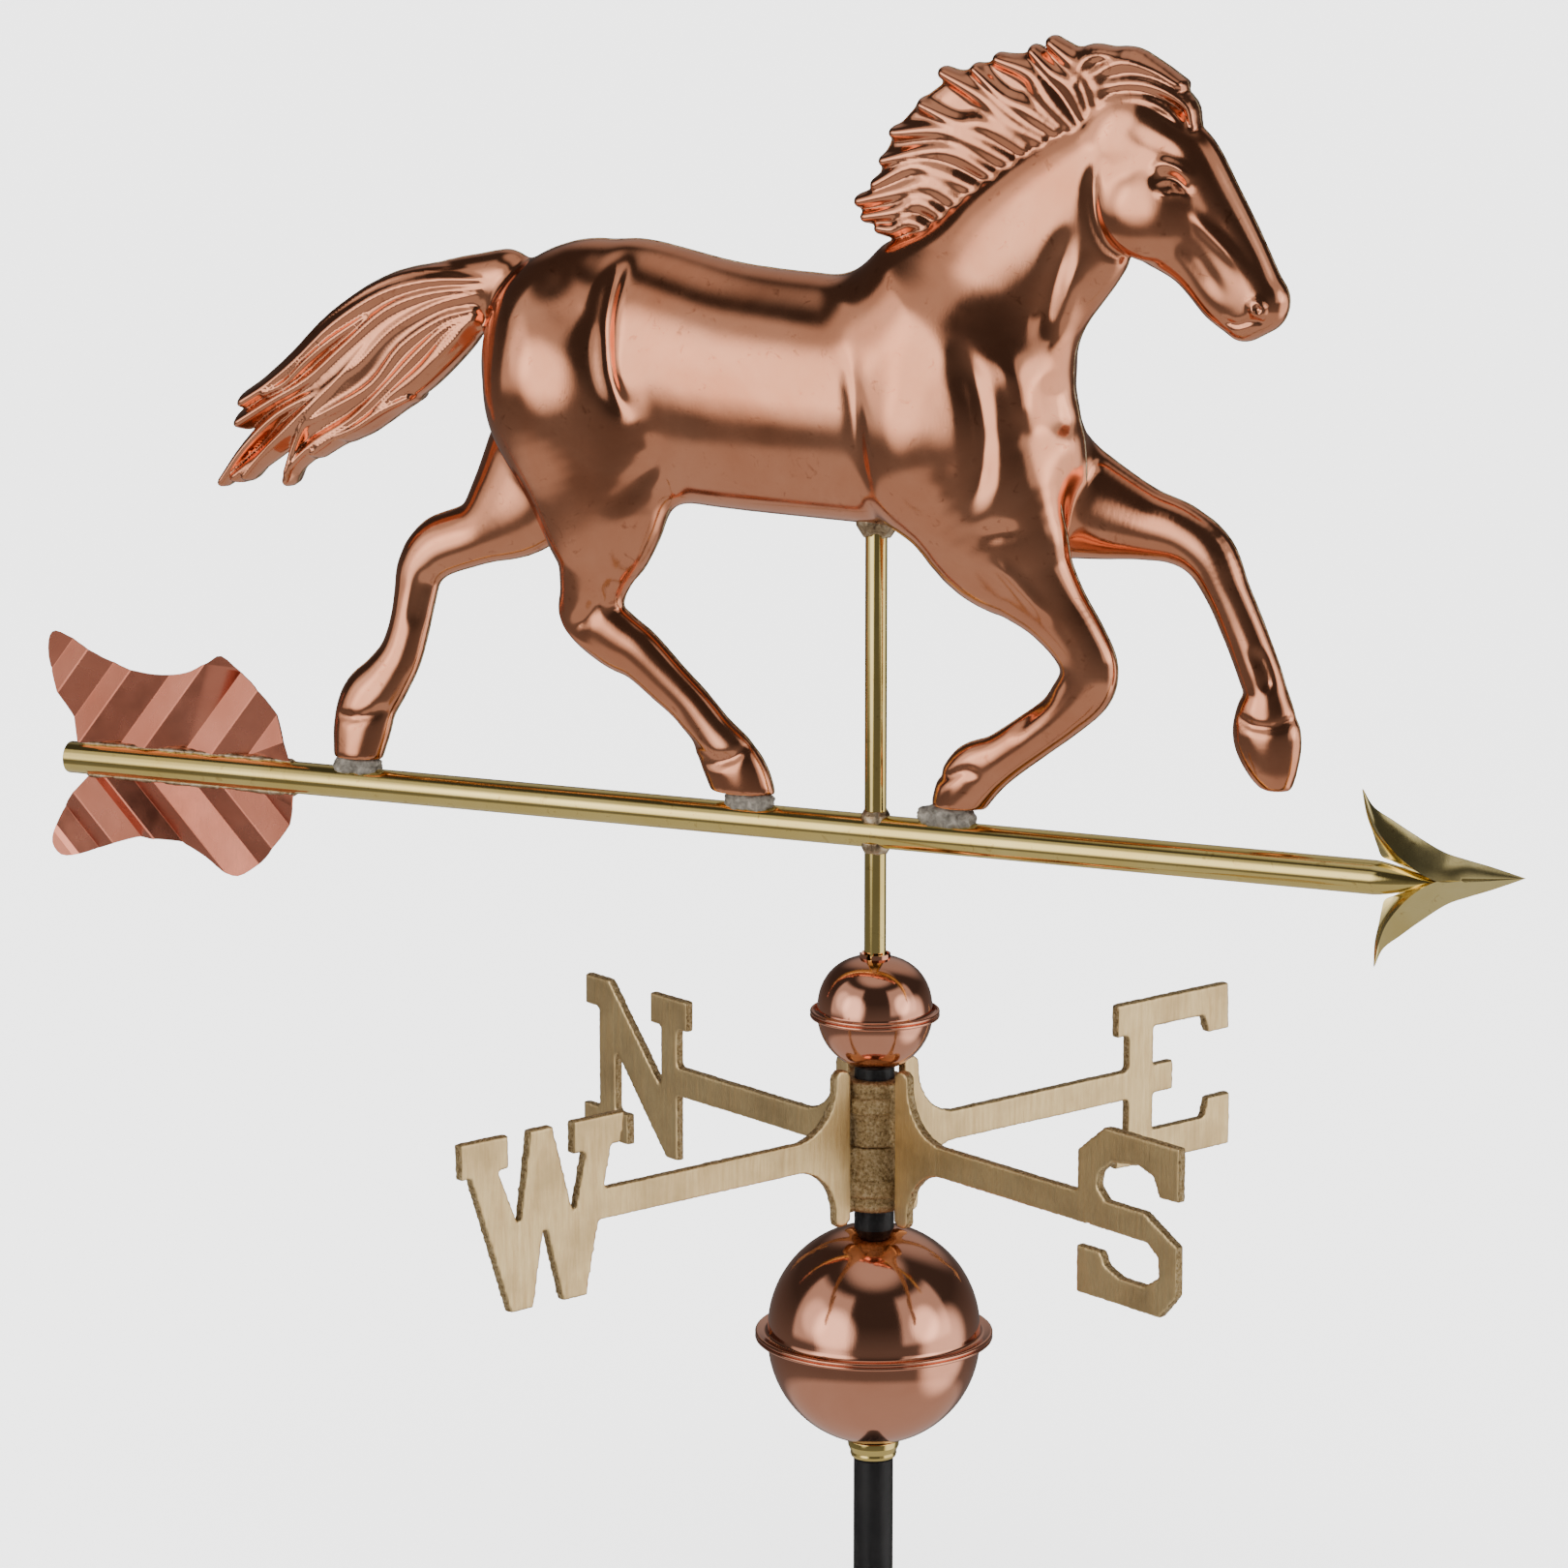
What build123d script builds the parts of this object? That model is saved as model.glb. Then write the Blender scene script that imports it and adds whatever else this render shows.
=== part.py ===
"""Copper horse weather vane: a turning vane on a spindle, over two copper balls and two
cast brass directionals on a black steel rod.

Frame: +Z up the rod, +X along the arrow towards its tip, the horse's mid-plane is Y = 0.
The origin is the centre of the rod's lower end.  Millimetres.
"""

import math
import os

from build123d import *

os.makedirs("parts", exist_ok=True)

# ---- driving dimensions ---------------------------------------------------------------
ROD_R = 9.525          # 3/4 inch steel tube
ROD_BORE_R = 7.5
SOCKET_END, GROOVE_WIDTH = 102.5, 2.0   # plain lower end, then the collar's groove
HUB_Z = 260.0          # where the two directionals meet on the rod
SEAT_DIP = 25.8        # small ball's centre above its flat seat

BALL_L_R, BALL_L_Z, BALL_L_BAND = 51.0, 165.0, 2.5     # large ball and its straight band
BALL_S_R = 27.5
BALL_S_Z = HUB_Z + 63.0
FLANGE_L_R, FLANGE_S_R = 57.0, 30.8
SHELL = 1.0            # copper sheet

ROD_TOP = BALL_S_Z - SEAT_DIP
SPINDLE_R = 4.12
TUBE_R, TUBE_BORE_R = 5.2, 4.2
TUBE_BOTTOM, TUBE_TOP = 306.0, 572.0
SPINDLE_TOP = 502.0
BEARING_R = 4.0

ARROW_Z = 411.0
ARROW_R, ARROW_BORE_R = 7.95, 6.7
ARROW_TAIL_X = -437.0
NOSE_START_X, NOSE_END_X = 249.0, 276.0
HEAD_PITCH = 5.0       # the head sits a few degrees nose up

PLATE_T = 4.8          # brass plate thickness
ARM_HALF, FLARE_R = 7.5, 24.0   # the arms flare out into the bars beside the rod
BAR_IN, BAR_OUT, BAR_HALF = 16.5, 26.5, 38.5
SLEEVE_R, SLEEVE_H = 14.5, 31.0
LETTER_HALF = 42.0
NS_ANGLE, EW_ANGLE = -26.3, 63.7     # where S and E point at rest, from +X

HOOF_Z = 424.0         # soles of the three planted hooves
LEG_SPREAD = 0.106     # how far a leg leans out for each millimetre above the arrow
BELLY_Z = 558.0


def save(part, name):
    part.label = name
    export_step(part, "parts/" + name + ".step")


def spun(points):
    """A turned piece from its half section (radius, height)."""
    with BuildPart() as turned:
        with BuildSketch(Plane.XZ):
            with BuildLine():
                Polyline(points, close=True)
            make_face()
        revolve(axis=Axis.Z)
    return turned.part


# ---- rod, its insert and the spindle --------------------------------------------------
# The rolled groove is where the brass collar is crimped on; below it the rod is the plain
# end that drops into a socket.
with BuildPart() as mounting_rod:
    with BuildSketch():
        Circle(ROD_R)
        Circle(ROD_BORE_R, mode=Mode.SUBTRACT)
    extrude(amount=ROD_TOP)
    with BuildSketch(Plane.XY.offset(SOCKET_END)):
        Circle(ROD_R)
        Circle(ROD_R - 0.6, mode=Mode.SUBTRACT)
    extrude(amount=GROOVE_WIDTH, mode=Mode.SUBTRACT)
save(mounting_rod.part, "mounting_rod")

INSERT_BORE_R = 6.0
with BuildPart() as rod_insert:
    with BuildSketch(Plane.XY.offset(ROD_TOP - 34)):
        Circle(ROD_BORE_R)
        Circle(INSERT_BORE_R, mode=Mode.SUBTRACT)
    extrude(amount=34)
save(rod_insert.part, "rod_insert")

SEAT_TOP = ROD_TOP + SHELL
save(
    spun([(0, ROD_TOP - 26), (INSERT_BORE_R, ROD_TOP - 26), (INSERT_BORE_R, SEAT_TOP),
          (7.4, SEAT_TOP), (7.4, SEAT_TOP + 4), (6.4, SEAT_TOP + 5.5), (SPINDLE_R, SEAT_TOP + 5.5),
          (SPINDLE_R, SPINDLE_TOP - 2), (2.6, SPINDLE_TOP), (0, SPINDLE_TOP)]),
    "spindle",
)

with BuildPart() as bearing_ball:
    with Locations((0, 0, SPINDLE_TOP + BEARING_R)):
        Sphere(BEARING_R)
save(bearing_ball.part, "bearing_ball")

# ---- brass collar under the large ball ------------------------------------------------
BALL_L_FOOT = BALL_L_Z - BALL_L_BAND - math.sqrt(BALL_L_R**2 - ROD_R**2)
save(
    spun([(ROD_R, 103.5), (10.6, 103.5), (12.4, 109.5), (12.4, BALL_L_FOOT - 0.1),
          (ROD_R, BALL_L_FOOT - 0.1)]),
    "ball_collar",
)


# ---- copper balls: two pressed halves crimped at a flange ------------------------------
def half_ball(radius, band, flange_r, hole_r, seat_r=0.0, side=1):
    """Upper half shell about Z, sitting on Z = 0.  seat_r gives it a flat round its hole."""
    with BuildPart() as half:
        with BuildSketch(Plane.XZ):
            with Locations((0, band)):
                Circle(radius)
            with Locations((0, band)):
                Circle(radius - SHELL, mode=Mode.SUBTRACT)
            with Locations((-radius, 0)):
                Rectangle(2 * radius, 4 * radius, mode=Mode.SUBTRACT)
            with Locations((0, -radius)):
                Rectangle(4 * radius, 2 * radius + 2 * band, mode=Mode.SUBTRACT)
            if band > 0:
                with Locations((radius - SHELL / 2, band / 2)):
                    Rectangle(SHELL, band)
            with Locations(((radius - SHELL + flange_r) / 2, SHELL)):
                Rectangle(flange_r - radius + SHELL, 2 * SHELL)
            if seat_r > 0:
                top = band + math.sqrt(radius**2 - seat_r**2)
                with Locations((0, top + 10)):
                    Rectangle(2 * seat_r + 1, 20, mode=Mode.SUBTRACT)
                with Locations(((seat_r + hole_r) / 2, top - SHELL / 2)):
                    Rectangle(seat_r - hole_r, SHELL)
            with Locations((0, radius)):
                Rectangle(2 * hole_r, 2 * radius, mode=Mode.SUBTRACT)
        revolve(axis=Axis.Z)
    return half.part if side > 0 else half.part.rotate(Axis.X, 180)


large_half = dict(radius=BALL_L_R, band=BALL_L_BAND, flange_r=FLANGE_L_R, hole_r=ROD_R + 0.05)
save(Pos(0, 0, BALL_L_Z) * half_ball(**large_half), "large_ball_upper")
save(Pos(0, 0, BALL_L_Z) * half_ball(**large_half, side=-1), "large_ball_lower")
FERRULE_R = 7.4
small_half = dict(radius=BALL_S_R, band=0.0, flange_r=FLANGE_S_R)
save(Pos(0, 0, BALL_S_Z) * half_ball(**small_half, hole_r=FERRULE_R), "small_ball_upper")
save(
    Pos(0, 0, BALL_S_Z)
    * half_ball(**small_half, hole_r=INSERT_BORE_R + 0.1, seat_r=ROD_R, side=-1),
    "small_ball_lower",
)

# split ferrule standing up round the vane tube out of the small ball
FERRULE_Z = BALL_S_Z + 23.5
with BuildPart() as small_ball_ferrule:
    with BuildSketch(Plane.XY.offset(FERRULE_Z)):
        Circle(FERRULE_R)
        Circle(FERRULE_R - 1.0, mode=Mode.SUBTRACT)
    extrude(amount=5.6)
    with BuildSketch(Plane.XY.offset(FERRULE_Z + 3.4)):
        for angle in (0, 90):
            Rectangle(2.5, 30, rotation=angle)
    extrude(amount=10, mode=Mode.SUBTRACT)
save(small_ball_ferrule.part, "small_ball_ferrule")


# ---- directionals: one casting for N and S, one for E and W ---------------------------
# letter outlines: distance from the rod, height from the hub, read from the front
LETTER_S = [(144, 27), (162, 41), (211, 41), (211, 15), (198, 15), (194, 24), (184, 27),
            (167, 25), (159, 19), (157.5, 12), (163, 6.5), (188, 6.5), (210, -5), (210, -29),
            (199, -41), (144, -41), (144, -18), (160, -18), (163, -24), (173, -28),
            (189, -28), (198, -22), (197.5, -13), (190, -7.5), (153, -7.5), (144, -5)]
LETTER_N = [(220, 42), (201, 42), (160, -5), (160, 26), (168, 26), (168, 42), (139, 42),
            (139, 26), (146.5, 26), (146.5, -41), (156, -41), (195.5, 6), (195.5, -25),
            (186, -25), (186, -41), (222, -41), (222, -25), (209.5, -25), (209.5, 26), (220, 26)]
LETTER_E = [(156, 42), (232, 42), (233, 18), (218, 18), (215.5, 27), (181, 27), (181, 8),
            (194.5, 8), (194.5, -7), (181, -7), (181, -25), (216, -25), (218.5, -15),
            (234, -15), (234, -42), (156, -42), (156, -25), (163.5, -25), (163.5, 25), (156, 25)]
LETTER_W = [(248, 42), (220, 42), (220, 26), (226, 26), (214.5, -2), (208, 42), (195, 42),
            (183, -2), (176.5, 26), (183.5, 26), (183.5, 42), (153, 42), (155.5, 27), (161, 27),
            (176, -42), (190, -42), (200, -3), (206.5, -42), (220, -42), (242, 25), (247, 25)]


def arm_plate(letter, reach, side):
    """Flat arm, its bar beside the rod and its letter; side -1 puts it on the -X side."""
    with BuildPart() as plate:
        with BuildSketch(Plane.XZ.offset(-PLATE_T / 2)) as face:
            with Locations(((BAR_IN + BAR_OUT) / 2, 0)):
                Rectangle(BAR_OUT - BAR_IN, 2 * BAR_HALF)
            fillet(face.vertices(), radius=4.4)
            with Locations(((BAR_IN + 3 + reach) / 2, 0)):
                Rectangle(reach - BAR_IN - 3, 2 * ARM_HALF)
            roots = [v for v in face.vertices()
                     if abs(v.X - BAR_OUT) < 0.01 and abs(abs(v.Y) - ARM_HALF) < 0.01]
            fillet(roots, radius=FLARE_R)
            with BuildLine():
                Polyline(letter, close=True)
            make_face()
        extrude(amount=PLATE_T)
    return plate.part if side > 0 else plate.part.rotate(Axis.Z, 180)


def directional(front, front_reach, back, back_reach, up, angle):
    """Both arms joined to a half-height sleeve; up is +1 for the upper sleeve."""
    with BuildPart() as casting:
        add(arm_plate(front, front_reach, 1))
        add(arm_plate(back, back_reach, -1))
        with Locations((0, 0, up * SLEEVE_H / 2)):
            Cylinder(SLEEVE_R, SLEEVE_H)
            Box(2 * BAR_IN + 4, PLATE_T, SLEEVE_H)
        with Locations((0, 0, up * (SLEEVE_H - 12))):
            Cylinder(SLEEVE_R + 0.7, 8)
        Cylinder(ROD_R + 0.05, 200, mode=Mode.SUBTRACT)
        with Locations(Location((0, SLEEVE_R, up * SLEEVE_H / 2), (90, 0, 0))):
            Cylinder(SCREW_R, 12, mode=Mode.SUBTRACT)
    return Pos(0, 0, HUB_Z) * casting.part.rotate(Axis.Z, angle)


SCREW_R = 2.5
save(directional(LETTER_S, 150, LETTER_N, 150, 1, NS_ANGLE), "ns_directional")
save(directional(LETTER_E, 168, LETTER_W, 170, -1, EW_ANGLE), "ew_directional")

# one socket set screw through the back of each sleeve
with BuildPart() as hub_set_screws:
    for angle, height in ((NS_ANGLE, SLEEVE_H / 2), (EW_ANGLE, -SLEEVE_H / 2)):
        turn = math.radians(angle + 90)
        out = (math.cos(turn), math.sin(turn), 0)
        base = Plane(origin=(out[0] * 9.6, out[1] * 9.6, HUB_Z + height), z_dir=out)
        with BuildSketch(base):
            Circle(SCREW_R)
        extrude(amount=6)
        with BuildSketch(base.offset(3.5)):
            RegularPolygon(1.4, 6)
        extrude(amount=3, mode=Mode.SUBTRACT)
save(hub_set_screws.part, "hub_set_screws")

# ---- vane tube and its top plug -------------------------------------------------------
with BuildPart() as vane_tube:
    with BuildSketch(Plane.XY.offset(TUBE_BOTTOM)):
        Circle(TUBE_R)
        Circle(TUBE_BORE_R, mode=Mode.SUBTRACT)
    extrude(amount=TUBE_TOP - TUBE_BOTTOM)
save(vane_tube.part, "vane_tube")

with BuildPart() as vane_tube_plug:
    with BuildSketch(Plane.XY.offset(SPINDLE_TOP + 2 * BEARING_R)):
        Circle(TUBE_BORE_R)
    extrude(amount=14)
save(vane_tube_plug.part, "vane_tube_plug")

# ---- arrow tube, drawn to a point inside the head --------------------------------------
ARROW_AXIS = Axis((0, 0, ARROW_Z), (1, 0, 0))
with BuildPart() as arrow_solid:
    with BuildSketch(Plane.XZ):
        with BuildLine():
            Polyline([(ARROW_TAIL_X, ARROW_Z), (ARROW_TAIL_X, ARROW_Z + ARROW_R),
                      (NOSE_START_X, ARROW_Z + ARROW_R), (NOSE_END_X, ARROW_Z + 1.2),
                      (NOSE_END_X, ARROW_Z)], close=True)
        make_face()
    revolve(axis=ARROW_AXIS)

with BuildPart() as arrow_tube:
    add(arrow_solid.part)
    with BuildSketch(Plane.YZ.offset(ARROW_TAIL_X)):
        with Locations((0, ARROW_Z)):
            Circle(ARROW_BORE_R)
    extrude(amount=NOSE_START_X - ARROW_TAIL_X - 2, mode=Mode.SUBTRACT)
    with Locations((0, 0, ARROW_Z)):
        Cylinder(TUBE_R, 40, mode=Mode.SUBTRACT)
save(arrow_tube.part, "arrow_tube")

# ---- arrow head: a four-pointed faceted casting ---------------------------------------
HEAD_HALF_T = 7.5


def facet(*corners):
    return Face(Wire.make_polygon([Vector(*c) for c in corners], close=True))


tip, up_barb, low_barb = (67.3, 0, 0), (-6.5, 0, 41.5), (-6.5, 0, -41.5)
up_mid, low_mid = (27, 0, 14), (27, 0, -14)
up_root, low_root = (0.5, 0, 10), (0.5, 0, -10)
rim = [tip, up_mid, up_barb, up_root, low_root, low_barb, low_mid]
facets = []
for side in (-1, 1):
    ridge = (28, side * HEAD_HALF_T, 0)
    for first, second in zip(rim, rim[1:] + rim[:1]):
        facets.append(facet(ridge, first, second))
head_solid = Solid(Shell(facets))
if head_solid.volume < 0:
    head_solid = Solid(Shell([-f for f in facets]))
with BuildPart() as arrow_head:
    add(Pos(250, 0, ARROW_Z) * Rot(0, -HEAD_PITCH, 0) * head_solid)
    add(arrow_solid.part, mode=Mode.SUBTRACT)
save(arrow_head.part, "arrow_head")

# ---- pleated copper feathers ----------------------------------------------------------
FEATHER_T = 1.0
PLEAT_PITCH, PLEAT_HALF = 17.7, 1.9
FEATHER_UP = [(-434, 18), (-439, 34), (-448, 46), (-443, 64), (-424, 56),
              (-398, 47), (-377, 46), (-363, 50), (-349, 58), (-338, 49), (-328, 42),
              (-318, 28), (-312, 9.6), (-428, 9.6)]
FEATHER_LOW = [(-428, -9.6), (-441, -25), (-447, -44), (-442, -50), (-432, -49), (-410, -41),
               (-380, -38), (-365, -42), (-342, -52), (-324, -39), (-312, -20), (-310, -9.6)]


def feather(outline, side, lean):
    """Pleated sheet cut to an outline; lean is the pleats' angle from the arrow."""
    slope = math.radians(lean)
    across = (math.sin(slope), 0, -side * math.cos(slope))
    along = (math.cos(slope), 0, side * math.sin(slope))
    step = PLEAT_PITCH * math.sin(slope)
    folds = [((i - 8) * step, PLEAT_HALF * (-1) ** i) for i in range(17)]
    band = [(s, y + FEATHER_T / 2) for s, y in folds] + [
        (s, y - FEATHER_T / 2) for s, y in reversed(folds)]
    base = Plane(origin=(-380, 0, ARROW_Z + side * 30), x_dir=across, z_dir=along)
    with BuildPart() as pleats:
        with BuildSketch(base):
            with BuildLine():
                Polyline(band, close=True)
            make_face()
        extrude(amount=110, both=True)
    with BuildPart() as cut:
        with BuildSketch(Plane.XZ):
            with BuildLine():
                Polyline([(x, ARROW_Z + z) for x, z in outline], close=True)
            make_face()
        extrude(amount=8, both=True)
        add(pleats.part, mode=Mode.INTERSECT)
    return cut.part


save(feather(FEATHER_UP, 1, 52), "upper_feather")
save(feather(FEATHER_LOW, -1, 47), "lower_feather")


def seam_strip(x_from, x_to, half_width, low, high):
    """Solder lying on the arrow tube between two heights."""
    with BuildPart() as strip:
        with Locations(((x_from + x_to) / 2, 0, (low + high) / 2)):
            Box(x_to - x_from, 2 * half_width, high - low)
        add(arrow_solid.part, mode=Mode.SUBTRACT)
    return strip.part


save(seam_strip(-431, -310, 3.0, ARROW_Z + 6.8, ARROW_Z + 9.6), "upper_feather_solder")
save(seam_strip(-427, -309, 3.0, ARROW_Z - 9.6, ARROW_Z - 6.8), "lower_feather_solder")
save(seam_strip(-287, -263, 6.0, ARROW_Z + 4.5, HOOF_Z + 0.5), "far_hind_solder")
save(seam_strip(-77, -53, 6.0, ARROW_Z + 4.5, HOOF_Z + 0.5), "near_hind_solder")
save(seam_strip(24, 50, 6.0, ARROW_Z + 4.5, HOOF_Z + 2.5), "near_fore_solder")

with BuildPart() as cross_joint_solder:
    for side in (-1, 1):
        with Locations((0, 0, ARROW_Z + side * 8)):
            Cylinder(TUBE_R + 1.5, 5)
    Cylinder(TUBE_R, 2000, mode=Mode.SUBTRACT)
    add(arrow_solid.part, mode=Mode.SUBTRACT)
save(cross_joint_solder.part, "cross_joint_solder")


# ---- copper horse ----------------------------------------------------------------------
# Sections are ellipses: x, z, the in-plane axis's angle from +X, half depth, half width.
TORSO = [(-203, 636, 90, 20, 13), (-192, 627, 90, 44, 26), (-168, 615, 90, 62, 35),
         (-138, 622, 90, 62, 37), (-104, 623, 90, 58, 33), (-66, 615.5, 90, 55, 35),
         (-26, 613, 90, 55.5, 37), (12, 617, 90, 59, 37), (46, 618, 90, 60, 34),
         (76, 598, 90, 48, 29), (98, 588, 90, 30, 20), (107, 585, 90, 10, 9)]
NECK = [(44, 640, 145, 62, 33), (58, 664, 138, 46, 26), (73, 686, 131, 41.5, 21),
        (90, 703, 130, 38, 18), (104, 719, 128, 32, 16), (115, 733, 126, 24, 13)]
HEAD = [(106, 742, 46, 22, 12), (122, 727, 46, 37, 16), (139, 709, 46, 32, 17),
        (155, 692, 44, 24, 14), (170, 679, 42, 18.5, 11), (182, 669, 40, 16.5, 11),
        (191, 661, 38, 9, 7)]
TAIL = [(-206, 653, 90, 11.5, 8), (-224, 646, 100, 18, 9), (-245, 633.5, 107, 23.5, 11),
        (-269, 618, 120, 25, 12), (-288, 599, 127, 23, 12), (-306, 584, 130, 21, 11),
        (-321, 571, 130, 17.5, 9), (-333, 561, 130, 9, 6), (-341, 555, 130, 4, 3.5)]
MANE = [(2, 680), (-11, 704), (-8, 711), (0, 718), (6, 732), (9, 742), (23, 750), (32, 769),
        (49, 771), (68, 778), (80, 778), (87, 785), (103, 784), (133, 774), (149, 770),
        (156, 757), (158, 741), (128, 735), (96, 728), (60, 700), (24, 676)]
MANE_HALF_T = 7.0
NEAR_HIND = [(-150, 590, 10, 36, 19), (-143, 560, 8, 29, 16), (-145, 536, 0, 19, 12.5),
             (-147.5, 517, 3, 14.5, 9.5), (-146, 499, 30, 13.5, 8.5), (-128, 486, 44, 10, 7.6),
             (-108, 469, 52, 8.8, 7), (-86, 451, 48, 10.5, 7.5), (-76, 441, 32, 13.5, 8.5),
             (-69, 431, 10, 16, 9.5), (-66, HOOF_Z + 0.5, 0, 12, 8)]
FAR_HIND = [(-158, 602, 134, 34, 19), (-180, 572, 134, 29, 15), (-204, 547, 125, 18, 11),
            (-229, 532, 120, 11.5, 8.5), (-240, 523, 143, 12, 8), (-246, 500, 168, 8.5, 7),
            (-251, 474, 168, 9.5, 7), (-262, 456, 172, 14, 8), (-271, 440, 180, 14, 9),
            (-274, HOOF_Z + 0.5, 180, 11.5, 8)]
NEAR_FORE = [(48, 588, 20, 38, 19), (62, 557, 22, 34, 16), (77, 534, 18, 22, 12.5),
             (92, 513, 22, 13, 9.5), (105, 498, 0, 14, 9), (97, 483, -30, 11, 8),
             (79, 465, -46, 8.8, 7), (60, 448.5, -58, 9.8, 7.5), (47, 442, -42, 12.5, 8.5),
             (40, 433, -15, 13, 9.2), (37, HOOF_Z + 2.5, 0, 11.5, 8)]
FAR_FORE = [(80, 576, 80, 30, 17), (104, 571, 82, 23, 14), (125, 568, 82, 16, 11),
            (142, 564, 78, 13.5, 10), (158, 554, 52, 12.5, 9.5), (168.5, 536, 18, 9, 8),
            (179, 515, 10, 10, 7.5), (187, 494, 2, 9, 7), (190, 480, -3, 13.5, 8.5),
            (190, 467, -5, 15, 9.3), (193, 456, -8, 9, 6.5), (194, 451, -8, 5, 4)]


def lofted(sections, lean=0.0, side_y=0.0, wall=0.0, closed=True):
    """Loft through the sections; wall shrinks it into the hollow inside a shell."""
    ends = [list(s) for s in sections]
    if wall and closed:
        for end, beside in ((0, 1), (-1, -2)):
            dx, dz = ends[beside][0] - ends[end][0], ends[beside][1] - ends[end][1]
            gap = math.hypot(dx, dz)
            ends[end][0] += dx / gap * 1.5 * wall
            ends[end][1] += dz / gap * 1.5 * wall
    with BuildPart() as body:
        for x, z, tilt, depth, width in ends:
            turn = math.radians(tilt)
            y = side_y + lean * (z - HOOF_Z)
            with BuildSketch(Plane(origin=(x, y, z), x_dir=(0, 1, 0),
                                   z_dir=(math.sin(turn), 0, -math.cos(turn)))):
                with BuildLine():
                    for start in (0, 180):
                        EllipticalCenterArc((0, 0), width - wall, depth - wall, start, arc_size=180)
                make_face()
        loft(ruled=True)
    return body.part


def mane_plate(inset):
    with BuildPart() as plate:
        with BuildSketch(Plane.XZ):
            with BuildLine():
                Polyline(MANE, close=True)
            make_face()
            if inset:
                offset(amount=-inset, kind=Kind.INTERSECTION)
        extrude(amount=MANE_HALF_T - inset, both=True)
    return plate.part


with BuildPart() as horse_skin:
    for sections in (TORSO, NECK, HEAD):
        add(lofted(sections))
    add(mane_plate(0))

with BuildPart() as horse_hollow:
    for sections in (TORSO, NECK, HEAD):
        add(lofted(sections, wall=SHELL))
    add(mane_plate(SHELL))

with BuildPart() as horse_shell:
    add(horse_skin.part)
    add(horse_hollow.part, mode=Mode.SUBTRACT)
    with Locations((0, 0, BELLY_Z)):
        Cylinder(TUBE_R, 40, mode=Mode.SUBTRACT)

for name, keep in (("horse_body_left", Keep.BOTTOM), ("horse_body_right", Keep.TOP)):
    with BuildPart() as half:
        add(horse_shell.part)
        split(bisect_by=Plane.XZ, keep=keep)
    save(half.part, name)

with BuildPart() as tail_shell:
    add(lofted(TAIL))
    add(lofted(TAIL, wall=SHELL), mode=Mode.SUBTRACT)
    add(horse_skin.part, mode=Mode.SUBTRACT)
for name, keep in (("tail_left", Keep.BOTTOM), ("tail_right", Keep.TOP)):
    with BuildPart() as half:
        add(tail_shell.part)
        split(bisect_by=Plane.XZ, keep=keep)
    save(half.part, name)

# each leg is two pressed halves soldered along its own mid-plane
for leg, sections, lean, side_y in (
    ("near_hind_leg", NEAR_HIND, -LEG_SPREAD, 0.0),
    ("far_hind_leg", FAR_HIND, LEG_SPREAD, 0.0),
    ("near_fore_leg", NEAR_FORE, -LEG_SPREAD, 0.0),
    ("far_fore_leg", FAR_FORE, 0.0, 15.0),
):
    with BuildPart() as shell:
        add(lofted(sections, lean, side_y))
        add(lofted(sections, lean, side_y, wall=SHELL, closed=leg == "far_fore_leg"),
            mode=Mode.SUBTRACT)
        add(horse_skin.part, mode=Mode.SUBTRACT)
    middle = Plane(origin=(0, side_y, HOOF_Z), x_dir=(1, 0, 0), z_dir=(0, -1, lean))
    outer = Keep.BOTTOM if leg.startswith("far") else Keep.TOP
    inner = Keep.TOP if leg.startswith("far") else Keep.BOTTOM
    for half_name, keep in (("outer", outer), ("inner", inner)):
        with BuildPart() as half:
            add(shell.part)
            split(bisect_by=middle, keep=keep)
        save(half.part, leg + "_" + half_name)

with BuildPart() as belly_solder:
    with Locations((0, 0, BELLY_Z - 1.5)):
        Cone(TUBE_R + 0.8, 10.5, 7)
    Cylinder(TUBE_R, 2000, mode=Mode.SUBTRACT)
    add(horse_skin.part, mode=Mode.SUBTRACT)
save(belly_solder.part, "belly_solder")
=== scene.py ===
"""Looks of the copper horse weather vane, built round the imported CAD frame."""

import math
from contextlib import contextmanager

import bmesh
import bpy
import numpy as np
import openvdb as vdb
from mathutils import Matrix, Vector, noise


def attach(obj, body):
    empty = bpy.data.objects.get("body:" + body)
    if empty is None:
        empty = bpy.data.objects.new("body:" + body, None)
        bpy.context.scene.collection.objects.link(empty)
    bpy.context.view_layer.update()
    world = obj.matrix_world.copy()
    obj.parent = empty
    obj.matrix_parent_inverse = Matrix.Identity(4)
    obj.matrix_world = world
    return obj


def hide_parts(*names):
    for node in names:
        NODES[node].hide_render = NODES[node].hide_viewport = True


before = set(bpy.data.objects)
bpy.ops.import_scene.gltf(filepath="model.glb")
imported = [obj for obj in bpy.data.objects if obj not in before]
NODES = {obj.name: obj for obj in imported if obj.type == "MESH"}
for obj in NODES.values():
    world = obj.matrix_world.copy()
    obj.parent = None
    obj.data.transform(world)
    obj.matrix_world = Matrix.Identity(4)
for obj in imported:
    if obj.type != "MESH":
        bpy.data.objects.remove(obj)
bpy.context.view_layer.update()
MM = 0.001

# heights, radii and sheet thickness of the CAD, millimetres
HUB_Z, ARROW_Z = 260.0, 411.0
BALL_L_Z, BALL_S_Z, HOOF_Z, BELLY_Z = 165.0, 323.0, 424.0, 558.0
ROD_R, VANE_TUBE_R, ARROW_TUBE_R = 9.525, 5.2, 7.95
SHEET = 1.0
LEG_SPREAD = 0.106          # how far a leg's mid-plane leans sideways per unit of height
FAR_FORE_SIDE = 15.0        # the raised leg's upright mid-plane, towards +Y


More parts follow.
